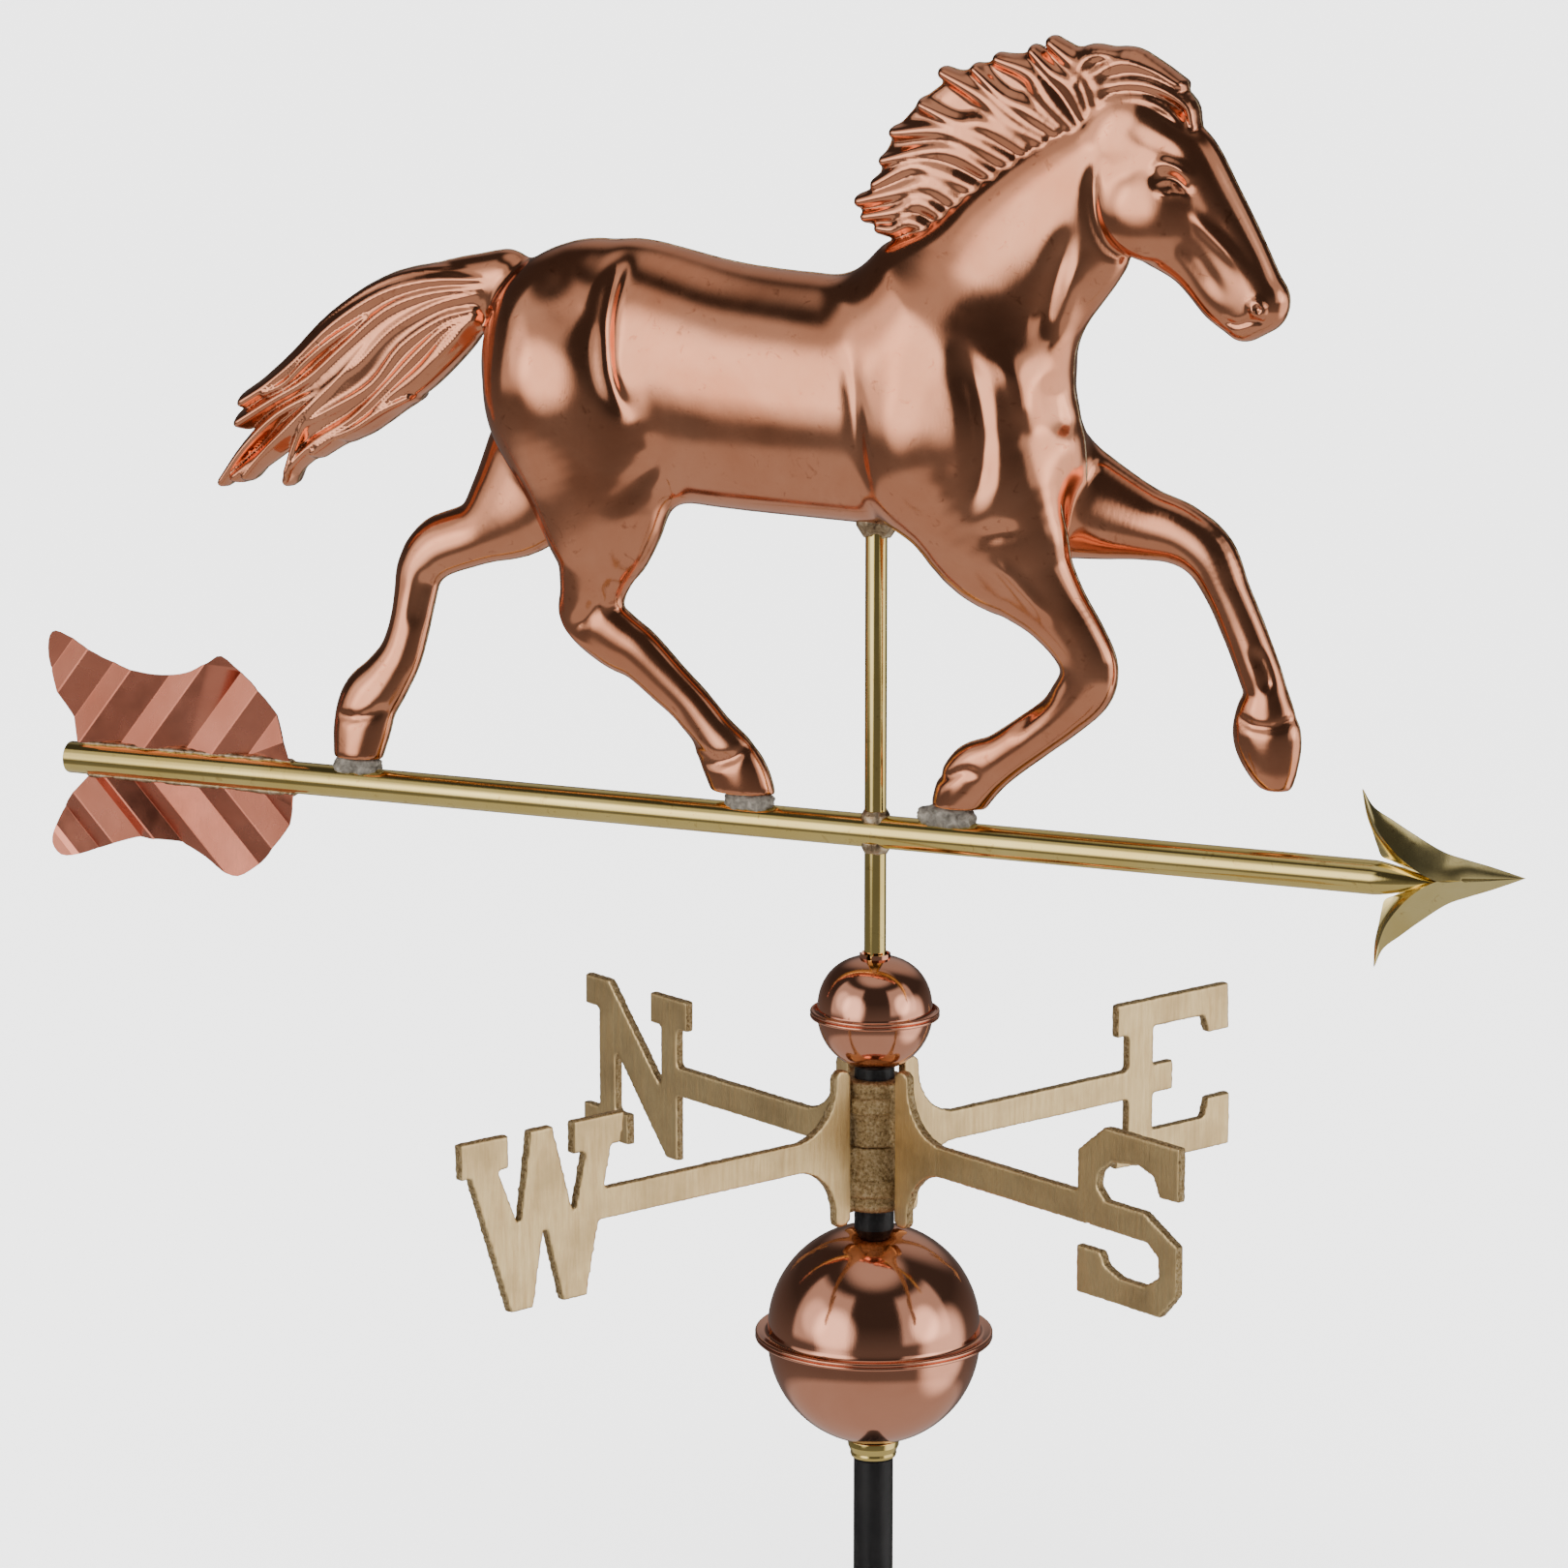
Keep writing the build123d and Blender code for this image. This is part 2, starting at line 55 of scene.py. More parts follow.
# =====================================================================================
# materials
# =====================================================================================
class Nodes:
    """Short hand for one material's node tree."""

    def __init__(self, name):
        self.mat = bpy.data.materials.new(name)
        self.mat.use_nodes = True
        self.tree = self.mat.node_tree
        self.tree.nodes.clear()
        self.out = self.new("ShaderNodeOutputMaterial")
        self.bsdf = self.new("ShaderNodeBsdfPrincipled")
        self.link(self.bsdf.outputs[0], self.out.inputs[0])
        self.coord = self.new("ShaderNodeTexCoord").outputs["Object"]

    def new(self, kind, **values):
        node = self.tree.nodes.new(kind)
        for key, value in values.items():
            setattr(node, key, value)
        return node

    def link(self, a, b):
        self.tree.links.new(a, b)

    def noise(self, scale, detail=4.0, rough=0.5, distort=0.0, coord=None):
        node = self.new("ShaderNodeTexNoise")
        node.inputs["Scale"].default_value = scale
        node.inputs["Detail"].default_value = detail
        node.inputs["Roughness"].default_value = rough
        node.inputs["Distortion"].default_value = distort
        self.link(coord or self.coord, node.inputs["Vector"])
        return node.outputs["Fac"]

    def mapped(self, scale):
        node = self.new("ShaderNodeMapping")
        node.inputs["Scale"].default_value = scale
        self.link(self.coord, node.inputs["Vector"])
        return node.outputs[0]

    def ramp(self, value, stops):
        node = self.new("ShaderNodeValToRGB")
        while len(node.color_ramp.elements) < len(stops):
            node.color_ramp.elements.new(0.5)
        for element, (at, colour) in zip(node.color_ramp.elements, stops):
            element.position = at
            element.color = (*colour, 1)
        self.link(value, node.inputs["Fac"])
        return node.outputs["Color"]

    def span(self, value, low, high, start=0.0, stop=1.0):
        node = self.new("ShaderNodeMapRange")
        node.inputs["From Min"].default_value = start
        node.inputs["From Max"].default_value = stop
        node.inputs["To Min"].default_value = low
        node.inputs["To Max"].default_value = high
        self.link(value, node.inputs["Value"])
        return node.outputs[0]

    def mix(self, fac, a, b):
        node = self.new("ShaderNodeMix", data_type="RGBA")
        for socket, value in ((node.inputs[0], fac), (node.inputs[6], a), (node.inputs[7], b)):
            if hasattr(value, "is_linked"):
                self.link(value, socket)
            else:
                socket.default_value = value if isinstance(value, (int, float)) else (*value, 1)
        return node.outputs[2]

    def bump(self, height, strength, distance, below=None):
        node = self.new("ShaderNodeBump")
        node.inputs["Strength"].default_value = strength
        node.inputs["Distance"].default_value = distance
        self.link(height, node.inputs["Height"])
        if below is not None:
            self.link(below, node.inputs["Normal"])
        return node.outputs[0]

    def set(self, **values):
        for key, value in values.items():
            socket = self.bsdf.inputs[key.replace("_", " ")]
            if hasattr(value, "is_linked"):
                self.link(value, socket)
            else:
                socket.default_value = value


def sheet_metal(name, base, deep, rough, wave=0.35, tarnish=None):
    """Polished sheet: slow dents, faint cloudy tone, fine wipe marks and a little tarnish."""
    n = Nodes(name)
    cloud = n.noise(22, 5, 0.6, 0.4)
    colour = n.mix(n.span(cloud, 0, 1, 0.35, 0.75), base, deep)
    if tarnish:
        spots = n.span(n.noise(160, 6, 0.65, 0.8), 0, 0.75, 0.60, 0.74)
        colour = n.mix(spots, colour, tarnish)
    fine = n.noise(900, 3, 0.6, coord=n.mapped((1, 1, 0.25)))
    slow = n.noise(30, 2, 0.5)
    normal = n.bump(slow, wave, 0.0012)
    normal = n.bump(fine, 0.06, 0.0002, normal)
    n.set(Base_Color=colour, Metallic=1.0,
          Roughness=n.span(n.noise(60, 4), rough * 0.75, rough * 1.35, 0.3, 0.7), Normal=normal)
    return n.mat


COPPER = sheet_metal("polished_copper", (0.86, 0.37, 0.215), (0.74, 0.28, 0.15), 0.13, 0.20,
                     (0.40, 0.13, 0.06))
COPPER_FEATHER = sheet_metal("feather_copper", (0.82, 0.30, 0.20), (0.70, 0.23, 0.145), 0.25, 0.2)
COPPER_BALL = sheet_metal("ball_copper", (0.88, 0.40, 0.26), (0.80, 0.34, 0.21), 0.08, 0.02)
BRASS = sheet_metal("polished_brass", (0.93, 0.73, 0.27), (0.84, 0.62, 0.19), 0.09, 0.05,
                    (0.44, 0.28, 0.08))
HEAD_BRASS = sheet_metal("arrow_head_brass", (0.92, 0.78, 0.38), (0.80, 0.62, 0.24), 0.15, 0.12,
                         (0.42, 0.28, 0.09))


def cast_brass():
    """Brushed faces of the letters and arms."""
    n = Nodes("cast_brass")
    grain = n.noise(420, 5, 0.7)
    brushed = n.noise(130, 6, 0.75, coord=n.mapped((3.2, 3.2, 0.30)))
    colour = n.mix(n.span(brushed, 0, 1, 0.35, 0.65), (0.97, 0.73, 0.38), (0.80, 0.56, 0.27))
    colour = n.mix(n.span(n.noise(45, 4), 0, 0.6, 0.45, 0.75), colour, (0.54, 0.37, 0.18))
    normal = n.bump(grain, 0.25, 0.0003)
    normal = n.bump(brushed, 0.45, 0.0004, normal)
    n.set(Base_Color=colour, Metallic=1.0,
          Roughness=n.span(brushed, 0.30, 0.46, 0.3, 0.7), Normal=normal)
    return n.mat


def cast_edge():
    """Sand-cast skin on the edges and sleeves."""
    n = Nodes("cast_brass_edge")
    pits = n.noise(650, 4, 0.7)
    lumps = n.noise(1500, 3, 0.6)
    colour = n.ramp(pits, [(0.32, (0.20, 0.12, 0.05)), (0.48, (0.50, 0.35, 0.17)),
                           (0.66, (0.76, 0.60, 0.36))])
    normal = n.bump(pits, 0.9, 0.0010)
    normal = n.bump(lumps, 0.6, 0.0004, normal)
    n.set(Base_Color=colour, Metallic=1.0, Roughness=n.span(pits, 0.34, 0.62, 0.3, 0.7),
          Normal=normal)
    return n.mat


def powder_black():
    """Orange-peel coat on the rod."""
    n = Nodes("black_powder_coat")
    peel = n.noise(900, 4, 0.6)
    colour = n.mix(n.span(n.noise(40, 3), 0, 1, 0.3, 0.7), (0.003, 0.003, 0.0035),
                   (0.006, 0.0055, 0.0055))
    n.set(Base_Color=colour, Roughness=n.span(peel, 0.30, 0.44, 0.3, 0.7), Specular_IOR_Level=0.25,
          Normal=n.bump(peel, 0.25, 0.0003))
    return n.mat


def solder():
    """Dull grey solder under the hooves."""
    n = Nodes("grey_solder")
    lumps = n.noise(260, 5, 0.6, 0.5)
    colour = n.ramp(lumps, [(0.3, (0.09, 0.08, 0.065)), (0.55, (0.24, 0.215, 0.18)),
                            (0.75, (0.44, 0.40, 0.34))])
    n.set(Base_Color=colour, Metallic=0.75, Roughness=n.span(lumps, 0.45, 0.75, 0.3, 0.7),
          Normal=n.bump(lumps, 0.8, 0.0010))
    return n.mat


def seam_solder():
    """Bright tin and brass filler left along the horse's seams."""
    n = Nodes("seam_solder")
    lumps = n.noise(240, 5, 0.6, 0.5)
    colour = n.ramp(lumps, [(0.32, (0.16, 0.10, 0.06)), (0.5, (0.46, 0.33, 0.20)),
                            (0.7, (0.72, 0.62, 0.46))])
    n.set(Base_Color=colour, Metallic=1.0, Roughness=n.span(lumps, 0.25, 0.5, 0.3, 0.7),
          Normal=n.bump(lumps, 0.6, 0.0006))
    return n.mat


def steel():
    """Turned steel of the bearing and screws."""
    n = Nodes("machined_steel")
    rings = n.noise(700, 3, 0.6, coord=n.mapped((0.1, 0.1, 3)))
    colour = n.mix(rings, (0.50, 0.50, 0.51), (0.66, 0.66, 0.67))
    n.set(Base_Color=colour, Metallic=1.0, Roughness=n.span(rings, 0.22, 0.38, 0.3, 0.7),
          Normal=n.bump(rings, 0.15, 0.0002))
    return n.mat


CAST, CAST_EDGE, BLACK = cast_brass(), cast_edge(), powder_black()
SOLDER, SEAM, STEEL = solder(), seam_solder(), steel()


# =====================================================================================
# mesh helpers, millimetres in, metres out
# =====================================================================================
def finish_piece(name, verts, faces, material, body, nodes=(), normals=None):
    """New smooth-shaded piece on a body, in the place of its CAD nodes."""
    mesh = bpy.data.meshes.new(name)
    mesh.from_pydata((np.asarray(verts, float) * MM).tolist(), [],
                     faces if isinstance(faces, list) else faces.tolist())
    mesh.materials.append(material)
    mesh.polygons.foreach_set("use_smooth", [True] * len(mesh.polygons))
    mesh.update()
    if normals is not None:
        mesh.normals_split_custom_set_from_vertices(np.asarray(normals, float).tolist())
    piece = bpy.data.objects.new(name, mesh)
    bpy.context.scene.collection.objects.link(piece)
    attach(piece, body)
    if nodes:
        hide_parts(*nodes)
    return piece


def around(n):
    """Pairs of neighbours round a closed loop of n."""
    return [(i, (i + 1) % n) for i in range(n)]


def ring_faces(sections, n):
    """Quads of a closed ring of sections with n points each."""
    return [[i * n + k, j * n + k, j * n + m, i * n + m]
            for i, j in around(sections) for k, m in around(n)]


def bar_faces(sections, n, base=0):
    """Quads and two end caps of a bar of sections with n points each."""
    starts = [base + i * n for i in range(sections)]
    faces = [[a + k, a + m, b + m, b + k] for a, b in zip(starts, starts[1:]) for k, m in around(n)]
    return faces + [[starts[0] + k for k in reversed(range(n))], [starts[-1] + k for k in range(n)]]


@contextmanager
def editing(piece):
    """The piece's mesh for bmesh operators, written back at the end."""
    bm = bmesh.new()
    bm.from_mesh(piece.data)
    yield bm
    bm.to_mesh(piece.data)
    bm.free()


def lathe(name, profile, material, body, nodes, steps, axis="Z", height=0.0, angle=40):
    """Turned piece, its axis through the rod's; profile is (radius, place along the axis)."""
    verts = []
    for i in range(steps):
        a = 2 * math.pi * i / steps
        for r, h in profile:
            x, y, z = r * math.cos(a), r * math.sin(a), h
            if axis == "X":
                x, y, z = z, x, y
            verts.append((x, y, z + height))
    piece = finish_piece(name, verts, ring_faces(steps, len(profile)), material, body, nodes)
    clean(piece)
    sharpen(piece, angle)


def clean(piece):
    """Merge doubled points, drop empty faces and turn the rest outwards."""
    with editing(piece) as bm:
        bmesh.ops.remove_doubles(bm, verts=bm.verts, dist=1e-5)
        bmesh.ops.dissolve_degenerate(bm, edges=bm.edges, dist=1e-6)
        bmesh.ops.recalc_face_normals(bm, faces=bm.faces)


def sharpen(piece, degrees):
    """Edges over the angle shade as creases."""
    limit = math.radians(degrees)
    with editing(piece) as bm:
        for edge in bm.edges:
            if len(edge.link_faces) == 2:
                edge.smooth = edge.calc_face_angle(0) < limit
        for face in bm.faces:
            face.smooth = True


def rounded(points, radius, steps=3):
    """Section outline with its corners rounded."""
    out, n = [], len(points)
    for i in range(n):
        p0, p1, p2 = (np.array(points[(i + k) % n], float) for k in (-1, 0, 1))
        a, b = p0 - p1, p2 - p1
        la, lb = np.linalg.norm(a), np.linalg.norm(b)
        half = math.acos(np.clip(a @ b / la / lb, -1, 1)) / 2
        cut = min(radius / math.tan(half), la * 0.45, lb * 0.45)
        s, e = p1 + a / la * cut, p1 + b / lb * cut
        for k in range(steps + 1):
            t = k / steps
            out.append(tuple((1 - t) ** 2 * s + 2 * t * (1 - t) * p1 + t * t * e))
    return out


def smooth_path(rows, steps):
    """Catmull-Rom curve through rows of numbers."""
    rows = np.array(rows, float)
    p = np.vstack([2 * rows[0] - rows[1], rows, 2 * rows[-1] - rows[-2]])
    out = []
    for a, b, c, d in zip(p, p[1:], p[2:], p[3:]):
        for t in np.arange(steps) / steps:
            out.append(0.5 * (2 * b + (c - a) * t + (2 * a - 5 * b + 4 * c - d) * t * t
                              + (3 * b - a - 3 * c + d) * t**3))
    return np.array(out + [p[-2]])


# =====================================================================================
# turned pieces
# =====================================================================================
def arc(centre, radius, start, stop, steps):
    """Points round an arc between two angles in degrees."""
    angles = [math.radians(start + (stop - start) * i / steps) for i in range(steps + 1)]
    return [(centre[0] + radius * math.cos(a), centre[1] + radius * math.sin(a)) for a in angles]


def dome(radius, band, power, hole, start, steps=40):
    """Side of a pressed crown from its band up to its hole; power 2 is round, more is fuller."""
    top = math.acos((hole / radius) ** (power / 2))
    turns = np.linspace(math.radians(start), top, steps)
    return [(radius * math.cos(t) ** (2 / power), band + radius * math.sin(t) ** (2 / power))
            for t in turns]


def ball_half(name, node, radius, band, flange, hole, height, side, seat=0.0, power=2.0):
    """Pressed half ball: crown, straight band and a flange with a rolled bead at its edge."""
    bead, bead_place = 0.95, flange - 0.9
    section = [(radius - SHEET, 0.0), (bead_place, 0.0)]
    section += arc((bead_place, bead), bead, -90, 110, 8)
    section += [(radius + 2.2, 1.15)] + arc((radius + 1.6, 2.6), 1.5, -95, -172, 4)
    section += dome(radius, band, power, seat or hole, 1.5)
    crown = section[-1][1]
    if seat:
        section += [(hole, crown), (hole, crown - SHEET)]
    section += dome(radius - SHEET, band, power, seat or hole, 0)[::-1]
    profile = [(r, side * h) for r, h in section]
    lathe(name, profile, COPPER_BALL, "mount", [node], 192, height=height, angle=50)


# radius, straight band, flange, hole
LARGE_BALL = (51.0, 2.5, 57.0, 9.58)
ball_half("large_ball_crown", "large_ball_upper", *LARGE_BALL, BALL_L_Z, 1)
ball_half("large_ball_base", "large_ball_lower", *LARGE_BALL, BALL_L_Z, -1)
ball_half("small_ball_crown", "small_ball_upper", 27.5, 0.0, 30.8, 7.4, BALL_S_Z, 1, power=2.35)
ball_half("small_ball_base", "small_ball_lower", 27.5, 0.0, 30.8, 6.1, BALL_S_Z, -1, seat=ROD_R)

ROD_BORE, ROD_TOP, GROOVE = 7.5, 297.2, 0.6
lathe("rod", rounded([(ROD_BORE, 0), (ROD_R, 0), (ROD_R, 102.5), (ROD_R - GROOVE, 102.5),
                      (ROD_R - GROOVE, 104.5), (ROD_R, 104.5), (ROD_R, ROD_TOP),
                      (ROD_BORE, ROD_TOP)], 0.35),
      BLACK, "mount", ["mounting_rod"], 96)
lathe("collar_ring", rounded([(ROD_R, 103.5), (10.6, 103.5), (11.2, 105.0), (11.0, 106.2),
                              (12.3, 109.2), (12.5, 112.2), (ROD_R, 112.2)], 0.4),
      BRASS, "mount", ["ball_collar"], 96)
lathe("vane_tube_drawn", rounded([(4.2, 306), (VANE_TUBE_R, 306), (VANE_TUBE_R, 572),
                                  (4.2, 572)], 0.3),
      BRASS, "vane", ["vane_tube"], 96)
# the tube's front end is drawn down to a point inside the arrow head
lathe("arrow_tube_drawn",
      [(6.7, -437), (7.2, -437.2), (7.75, -437), (ARROW_TUBE_R, -436.4), (ARROW_TUBE_R, 246)]
      + [(ARROW_TUBE_R - 6.75 * t**1.35, 246 + 30 * t) for t in np.linspace(0.1, 1, 9)]
      + [(0.4, 276.4), (0.2, 262), (6.0, 240), (6.7, 236)],
      BRASS, "vane", ["arrow_tube"], 96, axis="X", height=ARROW_Z)

# pieces shown in their CAD shape
for node, material in (("small_ball_ferrule", COPPER_BALL), ("rod_insert", STEEL),
                       ("spindle", STEEL), ("bearing_ball", STEEL), ("vane_tube_plug", BRASS),
                       ("hub_set_screws", STEEL)):
    mesh = NODES[node].data
    mesh.materials.clear()
    mesh.materials.append(material)


# =====================================================================================
# arrow head: hollow-ground facets either side of a forked ridge
# =====================================================================================
HEAD_PLACE, HEAD_PITCH = (250.0, 411.0), 5.0
HEAD_EDGE = [(67.3, 0), (51.7, 5.2), (40, 8.6), (29.2, 12.3), (15.9, 20.4), (6.5, 26.8),
             (-2.2, 33), (-7.0, 41.6)]
HEAD_RIDGE = [(67.0, 0), (52, 0), (40, 0), (28, 0), (14.6, 7.2), (3.2, 18.5), (-2.6, 28.5),
              (-6.7, 40.8)]
HEAD_HEIGHT = [0.3, 3.6, 6.0, 7.4, 6.3, 4.4, 2.6, 0.5]
HEAD_BACK = [(28, 0), (14, 3.5), (5, 8), (0.3, 10), (-1.6, 15), (-3.4, 21.5), (-5.8, 30),
             (-7.1, 41.4)]
HEAD_RIM, HEAD_THINNEST = 0.35, 0.3     # half thicknesses at the outline and at the least
HEAD_HOLLOW = 0.055                     # depth of the hollow grinding per width of a facet


def arrow_head():
    """Both wings of the head, each with two hollow facets on either face."""
    edge, ridge, back = (smooth_path(rows, 8) for rows in (HEAD_EDGE, HEAD_RIDGE, HEAD_BACK))
    height = smooth_path([(h,) for h in HEAD_HEIGHT], 8)[:, 0]
    across = 7
    cols = 2 * across
    verts, faces = [], []
    pitch = math.radians(HEAD_PITCH)
    for wing, face in ((1, 1), (1, -1), (-1, 1), (-1, -1)):
        base = len(verts)
        for rim, top, rear, high in zip(edge, ridge, back, height):
            strip = [(rim, HEAD_RIM), (top, max(high, HEAD_RIM)), (rear, HEAD_RIM)]
            for (a, ya), (b, yb) in zip(strip, strip[1:]):
                span = np.linalg.norm(np.subtract(b, a))
                for k in range(across):
                    t = k / (across - 1)
                    u, v = (1 - t) * a[0] + t * b[0], (1 - t) * a[1] + t * b[1]
                    hollow = HEAD_HOLLOW * span * 4 * t * (1 - t)
                    y = max((1 - t) * ya + t * yb - hollow, HEAD_THINNEST)
                    x = HEAD_PLACE[0] + u * math.cos(pitch) - wing * v * math.sin(pitch)
                    z = HEAD_PLACE[1] + u * math.sin(pitch) + wing * v * math.cos(pitch)
                    verts.append((x, face * y, z))
        for i in range(len(edge) - 1):
            for k in [k for k in range(cols - 1) if k != across - 1]:
                a = base + i * cols + k
                quad = [a, a + 1, a + 1 + cols, a + cols]
                faces.append(quad if wing * face > 0 else quad[::-1])
    piece = finish_piece("arrow_head_cast", verts, faces, HEAD_BRASS, "vane", ["arrow_head"])
    with editing(piece) as bm:
        bmesh.ops.remove_doubles(bm, verts=bm.verts, dist=4e-5)
        bmesh.ops.holes_fill(bm, edges=[e for e in bm.edges if e.is_boundary], sides=0)
        loose = [e for e in bm.edges if e.is_boundary]
        if loose:
            bmesh.ops.edgenet_fill(bm, edges=loose)
        bmesh.ops.dissolve_degenerate(bm, edges=bm.edges, dist=1e-6)
        bmesh.ops.recalc_face_normals(bm, faces=bm.faces)
    sharpen(piece, 22)


arrow_head()


# =====================================================================================
# feathers: cut sheet folded along slanting lines
# =====================================================================================
FOLD = 2.3                              # how far a fold stands out of the feather's plane
CREST, CREST_HALF = 0.97, 0.35          # a flattened crest's share of that, and half its width
UPPER_FEATHER = [(-431, 419.5), (-436, 433), (-443, 446), (-448, 457), (-447, 470), (-443, 475),
                 (-434, 470.5), (-424, 467), (-413, 461), (-398, 458), (-388, 456.5),
                 (-377, 457), (-366, 460), (-356, 465.5), (-349, 469), (-340, 461),
                 (-330, 455), (-323, 446), (-316, 433), (-311.5, 419.5)]
UPPER_FOLDS = [-455, -441, -424, -410, -389, -373, -352, -335, -317]
LOWER_FEATHER = [(-427, 402.5), (-434, 394), (-441, 386), (-445, 376), (-447, 367),
                 (-442, 361), (-432, 362), (-421, 366), (-410, 370), (-396, 373.5),
                 (-380, 373), (-372, 371.5), (-360, 367), (-350, 361), (-342, 358.5),
                 (-333, 364), (-324, 372), (-316, 383), (-311, 394), (-309.5, 402.5)]
LOWER_FOLDS = [-441, -426, -409, -399, -386, -371, -350, -331, -313]


def feather(name, node, outline, folds, lean, level):
    """Pleated sheet: folds is where its creases cross a level, lean how steep they are."""
    slope = 1 / math.tan(math.radians(lean))
    bm = bmesh.new()
    bm.faces.new([bm.verts.new((x, 0, z)) for x, z in smooth_path(outline, 3)])
    for at in folds:
        for shift in (-CREST_HALF, CREST_HALF):
            cut = bm.verts[:] + bm.edges[:] + bm.faces[:]
            bmesh.ops.bisect_plane(bm, geom=cut, dist=1e-3, plane_co=(at + shift, 0, level),
                                   plane_no=(1, 0, -slope))
    lines = [folds[0] - 15] + folds + [folds[-1] + 15]
    stops, heights = [], []
    for i, at in enumerate(lines):
        stops += [at - CREST_HALF, at + CREST_HALF]
        heights += [(FOLD if i % 2 else -FOLD) * CREST] * 2
    for v in bm.verts:
        v.co.y = float(np.interp(v.co.x - (v.co.z - level) * slope, stops, heights))
    bmesh.ops.triangulate(bm, faces=[f for f in bm.faces if len(f.verts) > 4])
    bm.verts.index_update()
    verts = [v.co[:] for v in bm.verts]
    faces = [[v.index for v in f.verts] for f in bm.faces]
    bm.free()
    piece = finish_piece(name, verts, faces, COPPER_FEATHER, "vane", [node])
    with editing(piece) as bm:
        bmesh.ops.recalc_face_normals(bm, faces=bm.faces)
        bmesh.ops.solidify(bm, geom=bm.faces[:], thickness=SHEET * 0.9 * MM)
    sharpen(piece, 8)


feather("feather_top", "upper_feather", UPPER_FEATHER, UPPER_FOLDS, 52, 445)
feather("feather_bottom", "lower_feather", LOWER_FEATHER, LOWER_FOLDS, -47, 385)


# =====================================================================================
# cast directionals: sand-cast skin over the CAD shape
# =====================================================================================
GRID = 0.95           # voxel of the skin
HUB_R, FLAT_R = 17.0, 17.5              # inside these the arms count as hub, not as flat plate
SLEEVE_R = 16.2
# collars turned on the hub's sleeves: height from the hub's middle, swell
COLLARS = [(16, 0), (16.6, 1.5), (24, 1.5), (24.6, 0), (26.4, 0), (27, 1.2)]


def vectors(items, key):
    """A three-number property of every vertex or face, as rows."""
    out = np.empty(len(items) * 3, np.float32)
    items.foreach_get(key, out)
    return out.reshape(-1, 3)


def skinned(node, name):
    """Softened voxel copy of a CAD node's mesh."""
    rough = NODES[node].copy()
    rough.data = NODES[node].data.copy()
    bpy.context.scene.collection.objects.link(rough)
    grid = rough.modifiers.new("skin", "REMESH")
    grid.mode, grid.voxel_size = "VOXEL", GRID * MM
    soft = rough.modifiers.new("soft", "SMOOTH")
    soft.factor, soft.iterations = 0.5, 3
    bpy.context.view_layer.update()
    evaluated = rough.evaluated_get(bpy.context.evaluated_depsgraph_get())
    mesh = bpy.data.meshes.new_from_object(evaluated)
    bpy.data.objects.remove(rough)
    mesh.name = name
    mesh.materials.clear()
    mesh.materials.append(CAST)
    mesh.materials.append(CAST_EDGE)
    return mesh


def casting(name, node, angle):
    """Two arms with their letters and hub: brushed flat faces, sand-cast everywhere else."""
    mesh = skinned(node, name)
    piece = bpy.data.objects.new(name, mesh)
    bpy.context.scene.collection.objects.link(piece)
    turn = math.radians(angle + 90)
    across = np.array([math.cos(turn), math.sin(turn), 0])
    place, normal = vectors(mesh.vertices, "co"), vectors(mesh.vertices, "normal")
    from_axis = np.hypot(place[:, 0], place[:, 1])
    plate = np.clip((np.abs(normal @ across) - 0.55) / 0.35, 0, 1)
    plate[from_axis < HUB_R * MM] = 0
    lumps, waves = [], []
    for x, y, z in (place * 1000).tolist():
        lumps.append(noise.noise((x * 0.42, y * 0.42, z * 0.42))
                     + 0.5 * noise.noise((x * 1.1, y * 1.1, z * 1.1)))
        waves.append(noise.noise((x * 0.05, y * 0.05, z * 0.05)))
    out = (1 - plate) * 0.30 * np.array(lumps) + 0.12 * np.array(waves) - 0.10
    from_hub = np.abs(place[:, 2] * 1000 - HUB_Z)
    out += (from_axis < SLEEVE_R * MM) * np.interp(from_hub, *zip(*COLLARS))
    mesh.vertices.foreach_set("co", (place + normal * (out * MM)[:, None]).ravel())
    facing, centre = vectors(mesh.polygons, "normal"), vectors(mesh.polygons, "center")
    flat = (np.abs(facing @ across) > 0.72) & (np.hypot(centre[:, 0], centre[:, 1]) > FLAT_R * MM)
    mesh.polygons.foreach_set("material_index", (~flat).astype(np.int32))
    mesh.polygons.foreach_set("use_smooth", [True] * len(flat))
    mesh.update()
    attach(piece, "mount")
    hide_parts(node)


casting("north_south_casting", "ns_directional", -26.3)
casting("east_west_casting", "ew_directional", 63.7)


# =====================================================================================
# solder: pads under the hooves, beads along the feathers, fillets at the joints
# =====================================================================================
def lump(name, node, low, high, seed):
    """Rounded lump filling the box between two corners, with a soldered surface."""
    bm = bmesh.new()
    bmesh.ops.create_icosphere(bm, subdivisions=5, radius=1)
    middle = (Vector(low) + Vector(high)) / 2
    half = (Vector(high) - Vector(low)) / 2
    verts = []
    for v in bm.verts:
        c = v.co
        swell = (abs(c.x) ** 3.2 + abs(c.y) ** 3.2 + abs(c.z) ** 3.2) ** (-1 / 3.2)
        p = Vector((c.x * half.x, c.y * half.y, c.z * half.z)) * swell
        rough = noise.fractal(p * 0.16 + Vector((seed, 0, 0)), 0.9, 2.0, 3)
        grit = noise.noise(p * 0.9 + Vector((0, seed, 0)))
        verts.append(middle + p * (0.94 + 0.13 * rough + 0.03 * grit))
    bm.verts.index_update()
    faces = [[v.index for v in f.verts] for f in bm.faces]
    bm.free()
    finish_piece(name, verts, faces, SOLDER, "vane", [node])


